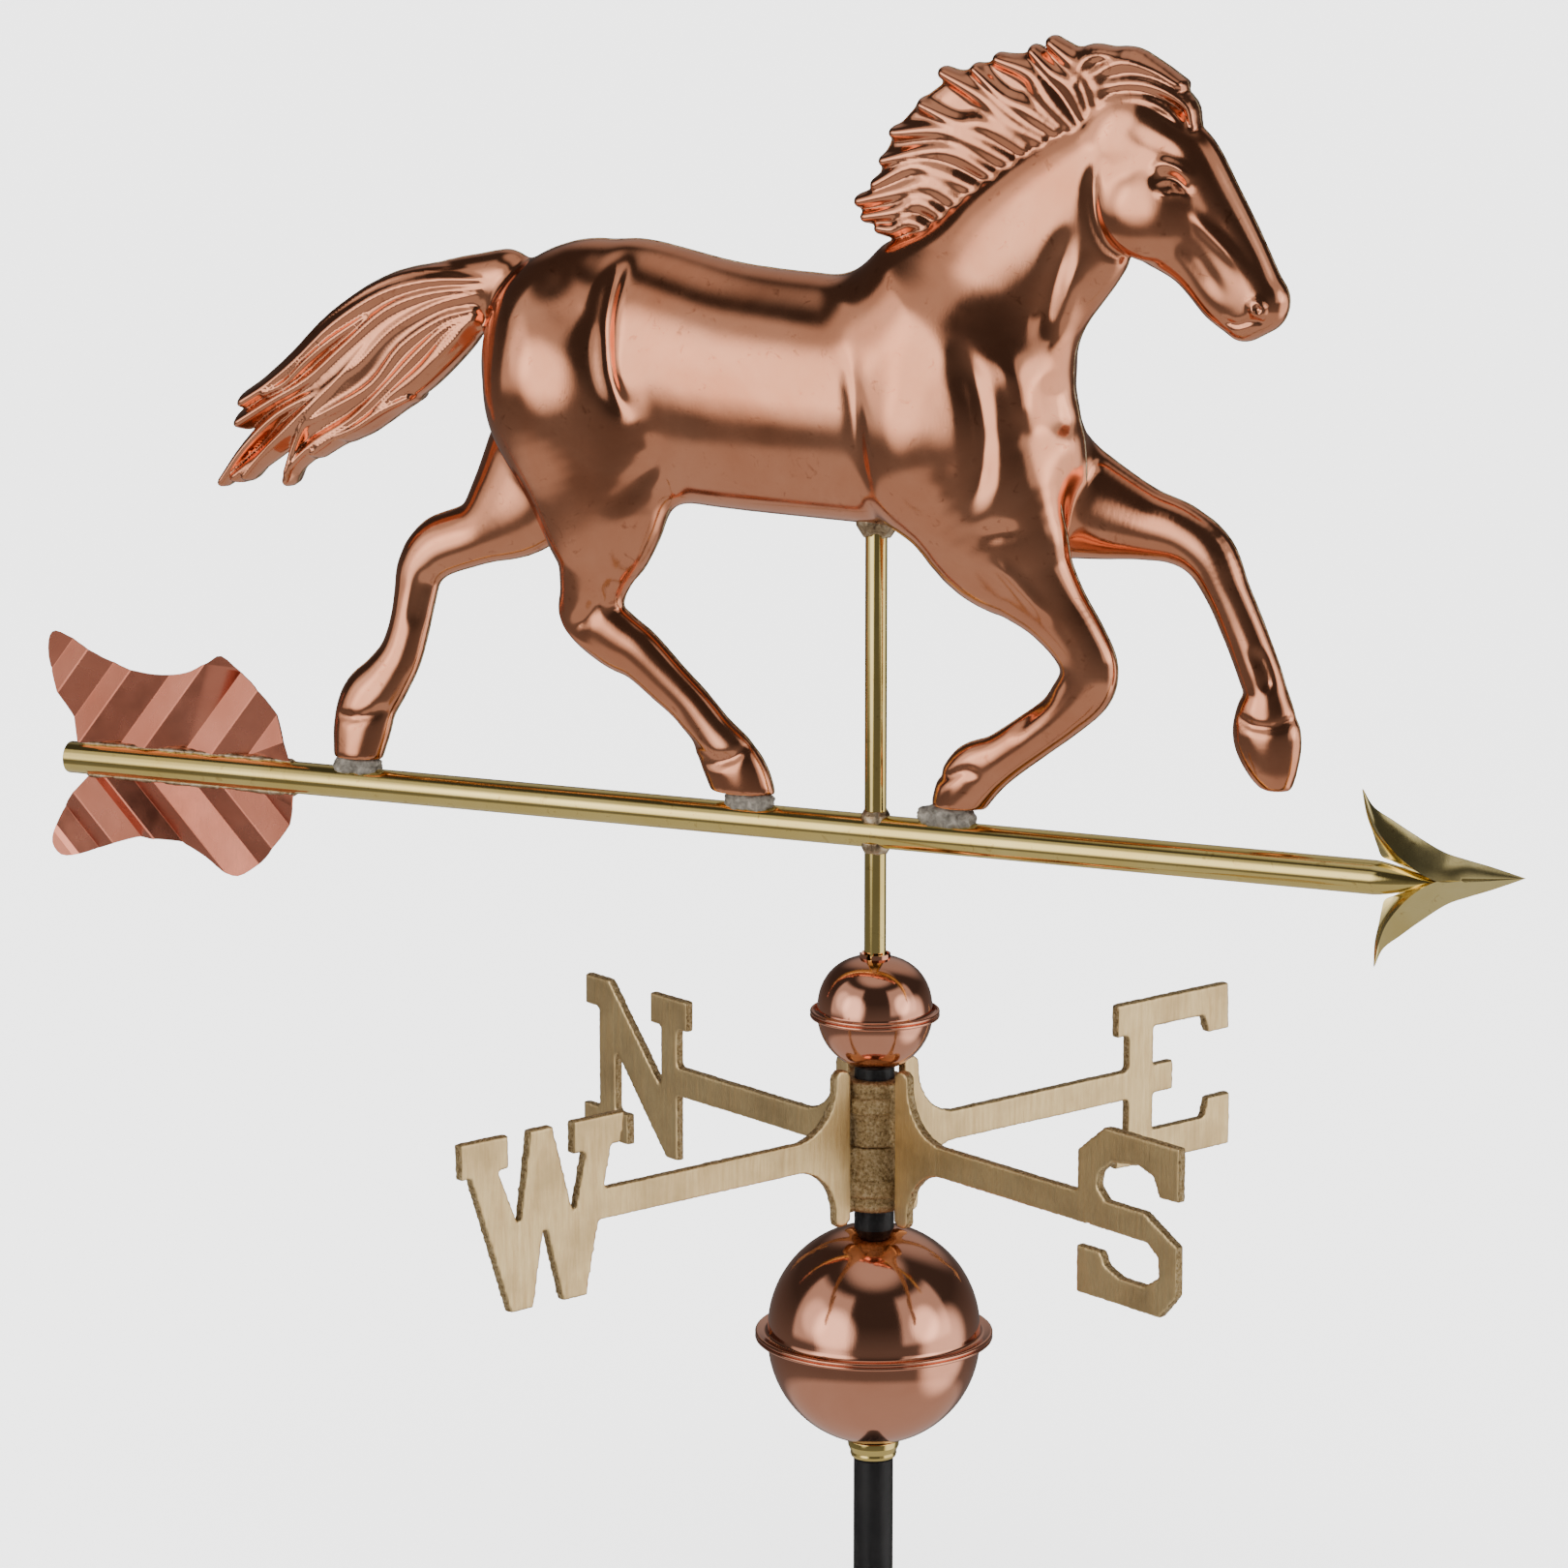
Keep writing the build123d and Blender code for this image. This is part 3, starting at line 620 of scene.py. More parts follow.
lump("far_hind_pad", "far_hind_solder", (-288, -6.5, 415), (-262.5, 6.5, 425.5), 3.1)
lump("near_hind_pad", "near_hind_solder", (-78, -6.5, 415), (-51.5, 6.5, 425), 7.7)
lump("near_fore_pad", "near_fore_solder", (22, -6.5, 415), (50.5, 6.5, 427), 12.3)


def bead_line(name, node, path, half, high, seed):
    """Run of solder along a straight joint, built from overlapping drops."""
    spacing, sides = 0.9, 12
    count = int(np.linalg.norm(np.subtract(path[1], path[0])) / spacing)
    verts = []
    for i in range(count + 1):
        t = i / count
        p = Vector(path[0]).lerp(Vector(path[1]), t)
        wave = noise.fractal(p * 0.12 + Vector((seed, 0, 0)), 0.8, 2.0, 3)
        end = min(1, min(i, count - i) / 3 + 0.1)
        for k in range(sides):
            a = 2 * math.pi * k / sides
            grit = 1 + 0.10 * noise.noise(Vector((p.x * 0.7, k * 0.8, seed)))
            verts.append((p.x, p.y + half * end * (1 + 0.35 * wave) * grit * math.cos(a),
                          p.z + high * end * (1 + 0.30 * wave) * grit * math.sin(a)))
    faces = bar_faces(count + 1, sides)
    piece = finish_piece(name, verts, faces, SEAM, "vane", [node])
    clean(piece)


bead_line("upper_feather_bead", "upper_feather_solder", [(-431, 0, 419.0), (-309, 0, 419.0)],
          2.3, 1.5, 1.0)
bead_line("lower_feather_bead", "lower_feather_solder", [(-428, 0, 403.0), (-308, 0, 403.0)],
          2.3, 1.5, 5.0)


RING_BORE = 5.1         # the fillets start just inside the vane tube's surface


def fillet_ring(profile, height, seed, sides=72):
    """Points and faces of a lumpy ring of solder round the vane tube."""
    verts = []
    for i in range(sides):
        a = 2 * math.pi * i / sides
        wave = noise.noise(Vector((math.cos(a) * 1.8, math.sin(a) * 1.8, seed)))
        for r, h in profile:
            out = RING_BORE + (r - RING_BORE) * (1 + 0.45 * wave)
            verts.append((out * math.cos(a), out * math.sin(a), height + h * (1 + 0.3 * wave)))
    return verts, ring_faces(sides, len(profile))


def rings(name, node, places):
    """One piece of several fillet rings, each (profile, height, seed)."""
    verts, faces = [], []
    for profile, height, seed in places:
        v, f = fillet_ring(profile, height, seed)
        faces += [[i + len(verts) for i in face] for face in f]
        verts += v
    piece = finish_piece(name, verts, faces, SEAM, "vane", [node])
    clean(piece)


JOINT_UP = rounded([(RING_BORE, -3), (7.4, -3), (6.7, 0.6), (5.6, 2.6), (RING_BORE, 2.6)], 0.6)
JOINT_DOWN = [(r, -h) for r, h in JOINT_UP]
rings("cross_joint_fillets", "cross_joint_solder",
      [(JOINT_UP, ARROW_Z + 7.6, 1.0), (JOINT_DOWN, ARROW_Z - 7.6, 4.0)])
BELLY_JOINT = rounded([(RING_BORE, -8), (6.4, -8), (9.8, -2.6), (10.2, 0.4), (RING_BORE, 1.4)],
                      1.2)
rings("belly_fillet", "belly_solder", [(BELLY_JOINT, BELLY_Z + 2.0, 9.0)])


# =====================================================================================
# the horse: one distance field in millimetres, meshed and cut into its pressed halves
# =====================================================================================
FAR = 40.0                  # what a part's field says outside the box round that part
VOXEL = 1.3
BOX_LOW, BOX_HIGH = (-352.0, -62.0, 420.0), (212.0, 62.0, 792.0)

# each form along its axis: (x, z, radius in the horse's plane, half width)
TORSO = [(-140, 622, 62, 37), (-118, 624, 61, 33.5), (-70, 618, 58, 36.5), (-10, 615, 57, 38.5),
         (44, 612, 55.5, 36)]
BREAST = [(36, 622, 50, 36), (62, 610, 40, 30), (76, 592, 26, 22)]
NECK = [(40, 652, 52, 34), (60, 669, 45, 27), (75, 687, 41.5, 22), (92, 704, 38, 18.5),
        (107, 720, 32, 16), (118, 733, 25, 14)]
SKULL = [(124, 742, 25, 14), (146, 730, 21.5, 14), (162, 708, 19, 12.5), (175, 688, 17, 11.2),
         (186, 671, 14.5, 10.6)]
JAW = [(131, 711, 28, 17), (141, 706, 25, 16), (157, 690, 16, 12.4), (171, 672, 13.5, 10),
       (179, 662, 9.5, 8.8)]
NEAR_HIND = [(-148, 604, 40, 22), (-137, 573, 37.5, 20.5), (-136, 552, 30, 18),
             (-138, 535, 21, 14), (-141.5, 520, 16.8, 11.5), (-142, 505, 15.8, 10),
             (-131, 495, 15.2, 9.6), (-119.5, 488.5, 13.4, 9), (-105.5, 476, 11.8, 8.2),
             (-93, 464.5, 11, 7.8), (-83, 452, 11.8, 8.2), (-75, 440.5, 14.8, 9.2),
             (-70, 431, 16, 10), (-66.5, 419, 15.6, 10)]
FAR_HIND = [(-160, 604, 38, 22), (-175, 578, 34, 18), (-191, 555, 26.5, 15),
            (-211, 539, 16, 11.5), (-234, 529.5, 14.4, 10), (-243.5, 519, 12.4, 9.2),
            (-246, 507, 11.2, 8.4), (-248.5, 492, 10.6, 7.8), (-253, 476, 11.2, 8),
            (-261, 463, 13, 8.6), (-269.5, 452, 15.2, 9.4), (-272.5, 440, 15.2, 9.6),
            (-274, 429, 13.4, 9.2), (-275, 418, 12, 8.6)]
NEAR_FORE = [(44, 596, 40, 22), (64, 561, 35.5, 19), (78, 543, 24.8, 15.2),
             (92, 527, 17.6, 12), (104, 511.5, 14.6, 10.6), (109.5, 499, 14, 10),
             (106.5, 488, 13.2, 9.4), (95, 475.5, 11.4, 8.4), (80, 463.5, 10.8, 8),
             (65, 452.5, 11.2, 8.2), (52.5, 444.5, 13.8, 9), (45, 434.5, 13.4, 9.6),
             (40, 424, 11.4, 9)]
FAR_FORE = [(84, 575, 30, 18), (106, 569, 23, 14), (127, 564, 17, 11.5),
            (145, 560, 14.4, 10.5), (159, 551, 13, 10), (168, 535, 10.8, 8.8),
            (176, 518, 10.4, 8), (183.5, 500, 10.4, 7.8), (187.5, 488, 10.4, 7.6),
            (187.5, 477, 14.4, 9.2), (188.5, 468, 16.2, 10), (190.8, 457, 12.6, 8.8),
            (193.2, 449, 8, 7)]
TAIL = [(-190, 662, 15, 11), (-224, 652, 17, 10.5), (-246, 638, 19, 11), (-268, 620, 19.5, 11),
        (-288, 600, 17, 10), (-304, 587, 12, 8)]

# locks of hair: points from root to tip, radius at the root, radius at the tip
TAIL_LOCKS = [
    ([(-200, 663), (-228, 661), (-253, 653.5), (-279, 637.5), (-301, 618), (-318, 605),
      (-331, 597)], 7.5, 4.6),
    ([(-200, 659), (-227, 655), (-250, 646), (-273, 627.5), (-294, 610), (-315, 598),
      (-333, 587)], 7.5, 4.8),
    ([(-203, 656), (-224, 650), (-247, 637), (-266, 619), (-287, 605), (-311, 592), (-330, 575),
      (-344, 557)], 8, 3.4),
    ([(-205, 648), (-221, 643), (-242, 629), (-258, 610), (-280, 597), (-303, 585), (-320, 572),
      (-336, 560)], 8, 4.4),
    ([(-205, 645), (-219, 639), (-236, 624), (-252, 608), (-270, 592), (-290, 580), (-304, 568),
      (-308, 560)], 7.5, 3.8),
    ([(-205, 643), (-216, 636), (-230, 620), (-247, 606), (-262, 593), (-278, 584), (-292, 575)],
     7, 4.4),
    ([(-206, 643), (-214, 634), (-226, 622), (-238, 611), (-250, 603), (-262, 592), (-275, 584)],
     6, 4.2),
    ([(-262, 642), (-280, 630), (-294, 619), (-306, 608), (-318, 602)], 5, 3.4),
    ([(-262, 628), (-276, 612), (-291, 597), (-301, 580), (-307, 564)], 5.5, 3.6),
    ([(-278, 612), (-294, 596), (-308, 583), (-321, 571), (-330, 561)], 5.5, 3.6),
    ([(-240, 604), (-254, 597), (-268, 588), (-282, 582), (-289, 578)], 4.5, 3.2),
]
MANE_LOCKS = [
    ([(111, 752), (109, 765), (99, 774), (87, 783)], 9.5, 4.0),
    ([(104, 752), (98, 764), (88, 770), (78, 779)], 8, 3.6),
    ([(98, 747), (87, 758), (78, 769), (61, 775)], 9.5, 3.6),
    ([(90, 745), (79, 752), (65, 758), (50, 770)], 8, 3.4),
    ([(83, 740), (68, 747), (54, 758), (34, 768)], 9.5, 3.4),
    ([(75, 736), (58, 745), (42, 746), (24, 753)], 8, 3.6),
    ([(67, 730), (50, 738), (33, 742), (10, 740)], 9.5, 3.4),
    ([(60, 723), (43, 732), (26, 732), (5, 727)], 8, 3.4),
    ([(52, 716), (36, 722), (20, 725), (1, 716)], 8.5, 3.6),
    ([(45, 709), (30, 717), (13, 713), (-7, 708)], 9, 3.6),
    ([(38, 702), (25, 709), (12, 704), (-4, 701)], 7.5, 3.4),
    ([(31, 696), (20, 700), (11, 696), (3, 696)], 6.5, 3.4),
]
MANE_PLATE = [(96, 765, 15, 5), (70, 762, 15, 5), (44, 750, 17, 5), (25, 731, 18, 5),
              (15, 711, 14, 5)]
FORELOCK = [
    ([(108, 770), (122, 776), (136, 773), (148, 767)], 6.5, 3.2),
    ([(110, 764), (126, 767), (140, 765), (152, 758), (155, 749)], 6.5, 2.4),
    ([(113, 757), (128, 760), (140, 757), (149, 750), (153, 741)], 6, 2.2),
    ([(116, 752), (128, 752), (138, 748), (146, 741)], 5, 2),
    ([(100, 768), (104, 776), (112, 779), (124, 776)], 6, 3),
]
EAR = [(119, 743, 3.0, 2.4), (117, 753, 4.6, 3.0), (113, 764, 3.6, 2.4), (109, 773, 1.3, 1.2)]

# hollows (+) and ridges (-) drawn on both flanks: depth, width, fade at each end, points
STROKES = [
    (4.2, 5.0, 0.25, [(-121, 684), (-125, 662), (-125, 640), (-120, 618), (-109, 602)]),
    (1.6, 5.0, 0.4, [(-109, 600), (-100, 588), (-112, 572), (-126, 556)]),
    (1.8, 4.6, 0.35, [(-2, 650), (2, 632), (5, 612), (7, 592), (12, 570)]),
    (3.0, 5.5, 0.3, [(50, 653), (58, 641), (64, 624), (67, 606), (66, 586), (61, 566)]),
    (-2.4, 6.0, 0.4, [(68, 650), (79, 636), (85, 620), (88, 602)]),
    (2.6, 4.0, 0.35, [(93, 636), (93, 620), (100, 602)]),
    (2.6, 4.2, 0.35, [(103, 706), (97, 688), (90, 667), (86, 645)]),
    (-1.8, 3.5, 0.4, [(110, 694), (103, 676), (98, 658), (93, 642)]),
    (2.2, 3.2, 0.3, [(114, 738), (111, 722), (113, 704), (121, 691), (137, 685)]),
    (1.1, 4.5, 0.4, [(146, 700), (158, 692), (168, 679), (176, 668)]),
    (-1.3, 3.2, 0.35, [(153, 716), (163, 705), (177, 692), (187, 681)]),
    (0.7, 3.0, 0.3, [(164, 712), (177, 697), (189, 681)]),
    (1.5, 1.3, 0.2, [(171, 663), (178, 661), (186, 663), (193, 662)]),
    (0.8, 3.4, 0.4, [(124, 748), (136, 742), (147, 737), (156, 727)]),
    (-1.9, 2.4, 0.35, [(137, 729), (145, 732.5), (153, 730), (160, 723)]),
    (2.0, 2.4, 0.3, [(139, 722), (145, 725.5), (151, 724.5), (157, 718)]),
    (-1.0, 1.1, 0.3, [(141, 719.5), (147, 718.5), (153, 719), (157, 716)]),
    (1.2, 4.0, 0.4, [(88, 562), (76, 563), (62, 560)]),
    (-1.6, 3.0, 0.3, [(70, 552), (84, 536), (97, 520)]),
    (1.4, 2.6, 0.3, [(-98, 455), (-88, 445), (-76, 441), (-62, 444)]),
    (1.4, 2.2, 0.2, [(-92, 441), (-80, 438), (-70, 442), (-61, 449)]),
    (1.4, 2.2, 0.2, [(-286, 446), (-275, 445), (-264, 447), (-256, 452)]),
    (1.4, 2.2, 0.2, [(30, 440), (40, 442), (50, 446), (58, 444)]),
    (1.4, 2.2, 0.2, [(174, 479), (184, 475), (195, 475), (204, 480)]),
    (2.0, 3.4, 0.3, [(-134, 520), (-140, 508), (-150, 498)]),
    (-1.4, 2.2, 0.3, [(-158, 520), (-159, 506), (-150, 495), (-134, 486)]),
    (1.6, 3.0, 0.3, [(-236, 520), (-241, 506), (-245, 488)]),
    (1.6, 3.0, 0.3, [(96, 489), (84, 476), (70, 463)]),
    (1.6, 2.6, 0.3, [(183, 512), (189, 498), (190, 488)]),
]
# pupil and nostril: depth, width, points
MARKS = [(0.9, 1.5, [(147.5, 722), (149.5, 721.5)]), (2.0, 1.7, [(188.5, 667.5), (190, 670)])]


def join(a, b, k):
    """Union of two distance fields with a fillet of about k."""
    h = np.maximum(k - np.abs(a - b), 0) / k
    return np.minimum(a, b) - h * h * k / 4


def trim(a, b, k=1.5):
    """The part of field a that is inside field b, its edge eased by about k."""
    return -join(-a, -b, k)


def inside(p, low, high):
    """Indices of the points within a box in the horse's plane."""
    return np.flatnonzero((p[:, 0] > low[0]) & (p[:, 0] < high[0])
                          & (p[:, 2] > low[1]) & (p[:, 2] < high[1]))


def oval(q, y, r, w):
    """Distance from an oval section with half sizes r and w, at q and y from its middle."""
    k0 = np.hypot(q / r, y / w)
    k1 = np.hypot(q / (r * r), y / (w * w)) + 1e-6
    return k0 * (k0 - 1) / k1


def tube(rows, steps=4, side=0.0, lean=0.0, ripple=0.0, pitch=4.0):
    """Field of a chain of elliptical sections; ripple combs it lengthwise into strands."""
    path = smooth_path(rows, steps).astype(np.float32)
    reach = path[:, 2].max() + 14
    low, high = path[:, :2].min(0) - reach, path[:, :2].max(0) + reach

    def field(p):
        d = np.full(len(p), FAR, np.float32)
        near = inside(p, low, high)
        if not len(near):
            return d
        x, z = p[near, 0], p[near, 2]
        y = p[near, 1] - side - lean * (z - HOOF_Z)
        best = np.full(len(near), FAR, np.float32)
        for a, b in zip(path, path[1:]):
            dx, dz = b[0] - a[0], b[1] - a[1]
            length = math.hypot(dx, dz)
            t = np.clip(((x - a[0]) * dx + (z - a[1]) * dz) / length**2, 0, 1)
            ex, ez = x - a[0] - t * dx, z - a[1] - t * dz
            r, w = a[2] + (b[2] - a[2]) * t, a[3] + (b[3] - a[3]) * t
            dist = oval(np.hypot(ex, ez), y, r, w)
            if ripple:
                dist = dist - ripple * np.cos((ex * dz - ez * dx) * (2 * math.pi / pitch / length))
            best = np.minimum(best, dist)
        d[near] = best
        return d

    return field


def bulb(rows):
    """Field of a smooth form along a nearly straight axis, from the same rows as tube."""
    first, last = np.array(rows[0][:2], float), np.array(rows[-1][:2], float)
    length = np.linalg.norm(last - first)
    axis = (last - first) / length
    table = []
    for row in smooth_path(rows, 12):
        place = row[:2] - first
        table.append((place @ axis, place[1] * axis[0] - place[0] * axis[1], row[2], row[3]))
    stations, offset, radius, width = np.array(table).T
    fine = np.linspace(0, length, 400)
    blur = np.hanning(61) / np.hanning(61).sum()

    def eased(values):
        return np.convolve(np.pad(np.interp(fine, stations, values), 30, "edge"), blur, "valid")

    offset, radius, width = eased(offset), eased(radius), eased(width)
    reach = radius.max() + 14
    low, high = np.minimum(first, last) - reach, np.maximum(first, last) + reach

    def field(p):
        d = np.full(len(p), FAR, np.float32)
        near = inside(p, low, high)
        if not len(near):
            return d
        x, z, y = p[near, 0] - first[0], p[near, 2] - first[1], p[near, 1]
        along = x * axis[0] + z * axis[1]
        u = np.clip(along, 0, length)
        r, w = np.interp(u, fine, radius), np.interp(u, fine, width)
        q = np.hypot(z * axis[0] - x * axis[1] - np.interp(u, fine, offset), along - u)
        d[near] = oval(q, y, r, w)
        return d

    return field


def locks(strands, half_width, ripple, pitch):
    """Fields of tapered locks of hair, each (points, root radius, tip radius)."""
    out = []
    for points, root, tip in strands:
        n = len(points) - 1
        rows = []
        for i, (x, z) in enumerate(points):
            full = root * (0.82 + 0.36 * math.sin(math.pi * min(1, 1.25 * i / n)))
            r = full + (tip - full) * (i / n) ** 1.6
            rows.append((x, z, r, half_width * (0.55 + 0.45 * r / root)))
        out.append(tube(rows, 4, ripple=ripple, pitch=pitch))
    return out


def stroke(depth, width, fade, points):
    """A change to the field that presses a line in from both flanks, or raises it."""
    path = smooth_path([(x, z) for x, z in points], 4)
    lengths = np.r_[0, np.cumsum(np.hypot(*np.diff(path, axis=0).T))]
    low, high = path.min(0) - 3 * width, path.max(0) + 3 * width

    def shift(p, d):
        near = inside(p, low, high)
        if not len(near):
            return
        x, z = p[near, 0], p[near, 2]
        best, along = np.full(len(near), 1e9), np.zeros(len(near))
        for a, b, s, e in zip(path, path[1:], lengths, lengths[1:]):
            dx, dz = b - a
            t = np.clip(((x - a[0]) * dx + (z - a[1]) * dz) / (e - s) ** 2, 0, 1)
            q = (x - a[0] - t * dx) ** 2 + (z - a[1] - t * dz) ** 2
            closer = q < best
            best[closer] = q[closer]
            along[closer] = (s + t[closer] * (e - s)) / lengths[-1]
        ends = np.clip(np.minimum(along, 1 - along) / fade, 0, 1)
        d[near] += depth * np.exp(-best / width**2) * ends * ends * (3 - 2 * ends)

    return shift


body_tubes = [(bulb(TORSO), 0), (bulb(BREAST), 14), (bulb(NECK), 16)]
skull, jaw, ear = bulb(SKULL), bulb(JAW), tube(EAR, 3)
tail_core = tube(TAIL, 5)
tail_locks = locks(TAIL_LOCKS, 11.5, 0.5, 6.2)
mane_locks = locks(MANE_LOCKS, 10, 0.10, 9.0)
mane_plate = tube(MANE_PLATE, 4)
fore_locks = locks(FORELOCK, 9.5, 0.25, 7.0)
strokes = [stroke(*s) for s in STROKES] + [stroke(d, w, 0.01, pts) for d, w, pts in MARKS]
# each leg's field, the fillet where it joins the body and the height of its sole
leg_tubes = {
    "near_hind": (tube(NEAR_HIND, 6, 0, -LEG_SPREAD), 12, HOOF_Z),
    "far_hind": (tube(FAR_HIND, 6, 0, LEG_SPREAD), 10, HOOF_Z),
    "near_fore": (tube(NEAR_FORE, 6, 0, -LEG_SPREAD), 10, HOOF_Z + 2),
    "far_fore": (tube(FAR_FORE, 6, FAR_FORE_SIDE), 8, HOOF_Z + 20),
}


def ball(p, x, z, y, rx, rz, ry, tilt=0.0):
    """Ellipsoid in each flank, at y either side of the mid-plane."""
    c, s = math.cos(math.radians(tilt)), math.sin(math.radians(tilt))
    dx, dz, dy = p[:, 0] - x, p[:, 2] - z, np.abs(p[:, 1]) - y
    u, v = (dx * c + dz * s), (-dx * s + dz * c)
    k0 = np.sqrt((u / rx) ** 2 + (v / rz) ** 2 + (dy / ry) ** 2)
    k1 = np.sqrt((u / rx**2) ** 2 + (v / rz**2) ** 2 + (dy / ry**2) ** 2) + 1e-6
    return k0 * (k0 - 1) / k1


def torso_field(p):
    d = body_tubes[0][0](p)
    for part, k in body_tubes[1:]:
        d = join(d, part(p), k)
    d = join(d, ball(p, 27, 606, 8, 30, 50, 35, -6), 7)          # shoulder
    d = join(d, ball(p, -158, 619, 5, 38, 56, 37, 8), 6)         # haunch
    d = join(d, ball(p, 66, 585, 10, 26, 30, 24, 0), 10)         # breast
    return d


def head_field(p):
    d = join(skull(p), jaw(p), 5)
    d = join(d, ball(p, 134, 709, 9, 22, 21, 9.5, 35), 4)        # cheek disc
    d = join(d, ball(p, 148.5, 721.5, 12.4, 3.4, 2.6, 3.0, 20), 0.8)   # eye
    d = join(d, ball(p, 188.5, 669, 8.6, 4.6, 5.4, 4.0, 30), 1.5)      # nostril rim
    return d


def tail_field(p):
    d = tail_core(p)
    for lock in tail_locks:
        d = join(d, lock(p), 1.0)
    return d


def hair_field(p):
    d = join(ear(p), mane_plate(p), 1.0)
    for lock in mane_locks + fore_locks:
        d = join(d, lock(p), 2.6)
    return d


def horse_groups(p):
    """Distances to the body, the tail and each leg."""
    body = join(torso_field(p), head_field(p), 3.5)
    body = join(body, hair_field(p), 1.6)
    groups = {"body": body, "tail": tail_field(p)}
    for leg, (part, _, sole) in leg_tubes.items():
        groups[leg] = trim(part(p), sole - p[:, 2])
    return groups


def horse_field(p):
    groups = horse_groups(p)
    d = groups["body"]
    for leg, (_, fillet, _) in leg_tubes.items():
        d = join(d, groups[leg], fillet)
    d = join(d, groups["tail"], 5.0)
    for shift in strokes:
        shift(p, d)
    return d


def sampled(points, field, chunk=400000):
    """The field at many points, a chunk at a time to spare memory."""
    return np.concatenate([field(points[i:i + chunk]) for i in range(0, len(points), chunk)])


def slopes(points, step):
    """Gradient of horse_field by differences of the given step."""
    out = np.empty_like(points)
    for axis in range(3):
        move = np.zeros(3, np.float32)
        move[axis] = step
        out[:, axis] = horse_field(points + move) - horse_field(points - move)
    return out / (2 * step)


def mesh_field():
    """Surface of horse_field as points, quads and smooth normals."""
    low, high = np.array(BOX_LOW), np.array(BOX_HIGH)
    coarse = 4 * VOXEL
    counts = np.ceil((high - low) / coarse).astype(int)
    counts[1] = 2 * math.ceil(high[1] / coarse)
    low[1] = -coarse * counts[1] / 2
    axes = [low[a] + (np.arange(counts[a]) + 0.5) * coarse for a in range(3)]
    centres = np.stack(np.meshgrid(*axes, indexing="ij"), -1).reshape(-1, 3).astype(np.float32)
    rough = sampled(centres, horse_field).reshape(counts)
    fine = np.repeat(np.repeat(np.repeat(np.clip(rough, -9, 9), 4, 0), 4, 1), 4, 2)
    cells = np.argwhere(np.abs(rough) < coarse * 1.15)
    inner = np.stack(np.meshgrid(*[np.arange(4)] * 3, indexing="ij"), -1).reshape(-1, 3)
    index = (cells[:, None, :] * 4 + inner[None]).reshape(-1, 3)
    where = (low + (index + 0.5) * VOXEL).astype(np.float32)
    fine[tuple(index.T)] = sampled(where, horse_field)
    grid = vdb.FloatGrid()
    grid.copyFromArray(np.ascontiguousarray(fine, dtype=np.float32))
    points, quads = grid.convertToQuads(isovalue=0.0)
    points = (low + (np.asarray(points) + 0.5) * VOXEL).astype(np.float32)
    for _ in range(2):
        g = slopes(points, 0.5)
        d = horse_field(points)
        step = d / np.maximum((g * g).sum(1), 0.2)
        points -= g * np.clip(step, -1.0, 1.0)[:, None]
    return points, np.asarray(quads)


def shell_piece(name, points, normals, quads, keep, nodes):
    """Pressed sheet: the kept quads, the same offset inwards, and the rim between them."""
    faces = quads[keep]
    used, compact = np.unique(faces, return_inverse=True)
    faces = compact.reshape(faces.shape)
    outer, norm = points[used], normals[used]
    n = len(used)
    edges = np.concatenate([faces[:, [i, (i + 1) % 4]] for i in range(4)])
    keys = np.sort(edges, axis=1)
    _, first, counts = np.unique(keys, axis=0, return_index=True, return_counts=True)
    rim = edges[first[counts == 1]]
    walls = np.stack([rim[:, 1], rim[:, 0], rim[:, 0] + n, rim[:, 1] + n], axis=1)
    verts = np.concatenate([outer, outer - norm * SHEET])
    finish_piece(name, verts, np.concatenate([faces, faces[:, ::-1] + n, walls]), COPPER, "vane",
                 nodes, np.concatenate([norm, -norm]))


def from_mid_plane(group, p):
    """Signed distance of points from the plane that halves their group, positive towards +Y."""
    if group == "far_fore":
        return p[:, 1] - FAR_FORE_SIDE
    lean = {"far_hind": LEG_SPREAD, "near_hind": -LEG_SPREAD, "near_fore": -LEG_SPREAD}
    return p[:, 1] - lean.get(group, 0.0) * (p[:, 2] - HOOF_Z)


def relaxed(values, quads, amount, rounds):
    """Rows of three numbers at the points, averaged with their neighbours."""
    a = np.concatenate([quads[:, i] for i in range(4)])
    b = np.concatenate([quads[:, (i + 1) % 4] for i in range(4)])
    both_a, both_b = np.concatenate([a, b]), np.concatenate([b, a])
    count = np.maximum(np.bincount(both_a, minlength=len(values)), 1)
    out = values.astype(np.float64)
    for _ in range(rounds):
        mean = np.stack([np.bincount(both_a, out[both_b, k], len(values)) / count
                         for k in range(3)], 1)
        out += (mean - out) * amount[:, None]
    return out.astype(np.float32)


BODY_LEAD = 1.5             # a quad leaves the body where another group is nearer by more than this
HAIR_REACH = 2.5            # strands of hair are kept crisp this far round them
HEAD_X, FETLOCK_Z = 108, 470            # the head is in front of one, the low legs under the other
SHORTEST_BEAD = 8           # points in the shortest run of seam that gets solder


def halves(points, quads, groups):
    """The group of each quad, and whether it is on the +Y side of the group's mid-plane."""
    stack = np.stack(list(groups.values()), 1)
    stack[:, 0] -= BODY_LEAD
    owner = np.argmin(stack[quads].mean(1), axis=1)
    centre = points[quads].mean(1)
    side = np.empty(len(quads), bool)
    for i, group in enumerate(groups):
        mine = owner == i
        side[mine] = from_mid_plane(group, centre[mine]) > 0
    return owner, side


def easing(points, groups):
    """How freely each point is smoothed: least in the hair, less on the head and low legs."""
    tail = groups["tail"] < groups["body"] - BODY_LEAD + HAIR_REACH
    ease = np.where((hair_field(points) < HAIR_REACH) | tail, 0.06, 1.0)
    ease[points[:, 0] > HEAD_X] *= 0.25
    ease[points[:, 2] < FETLOCK_Z] *= 0.6
    return ease


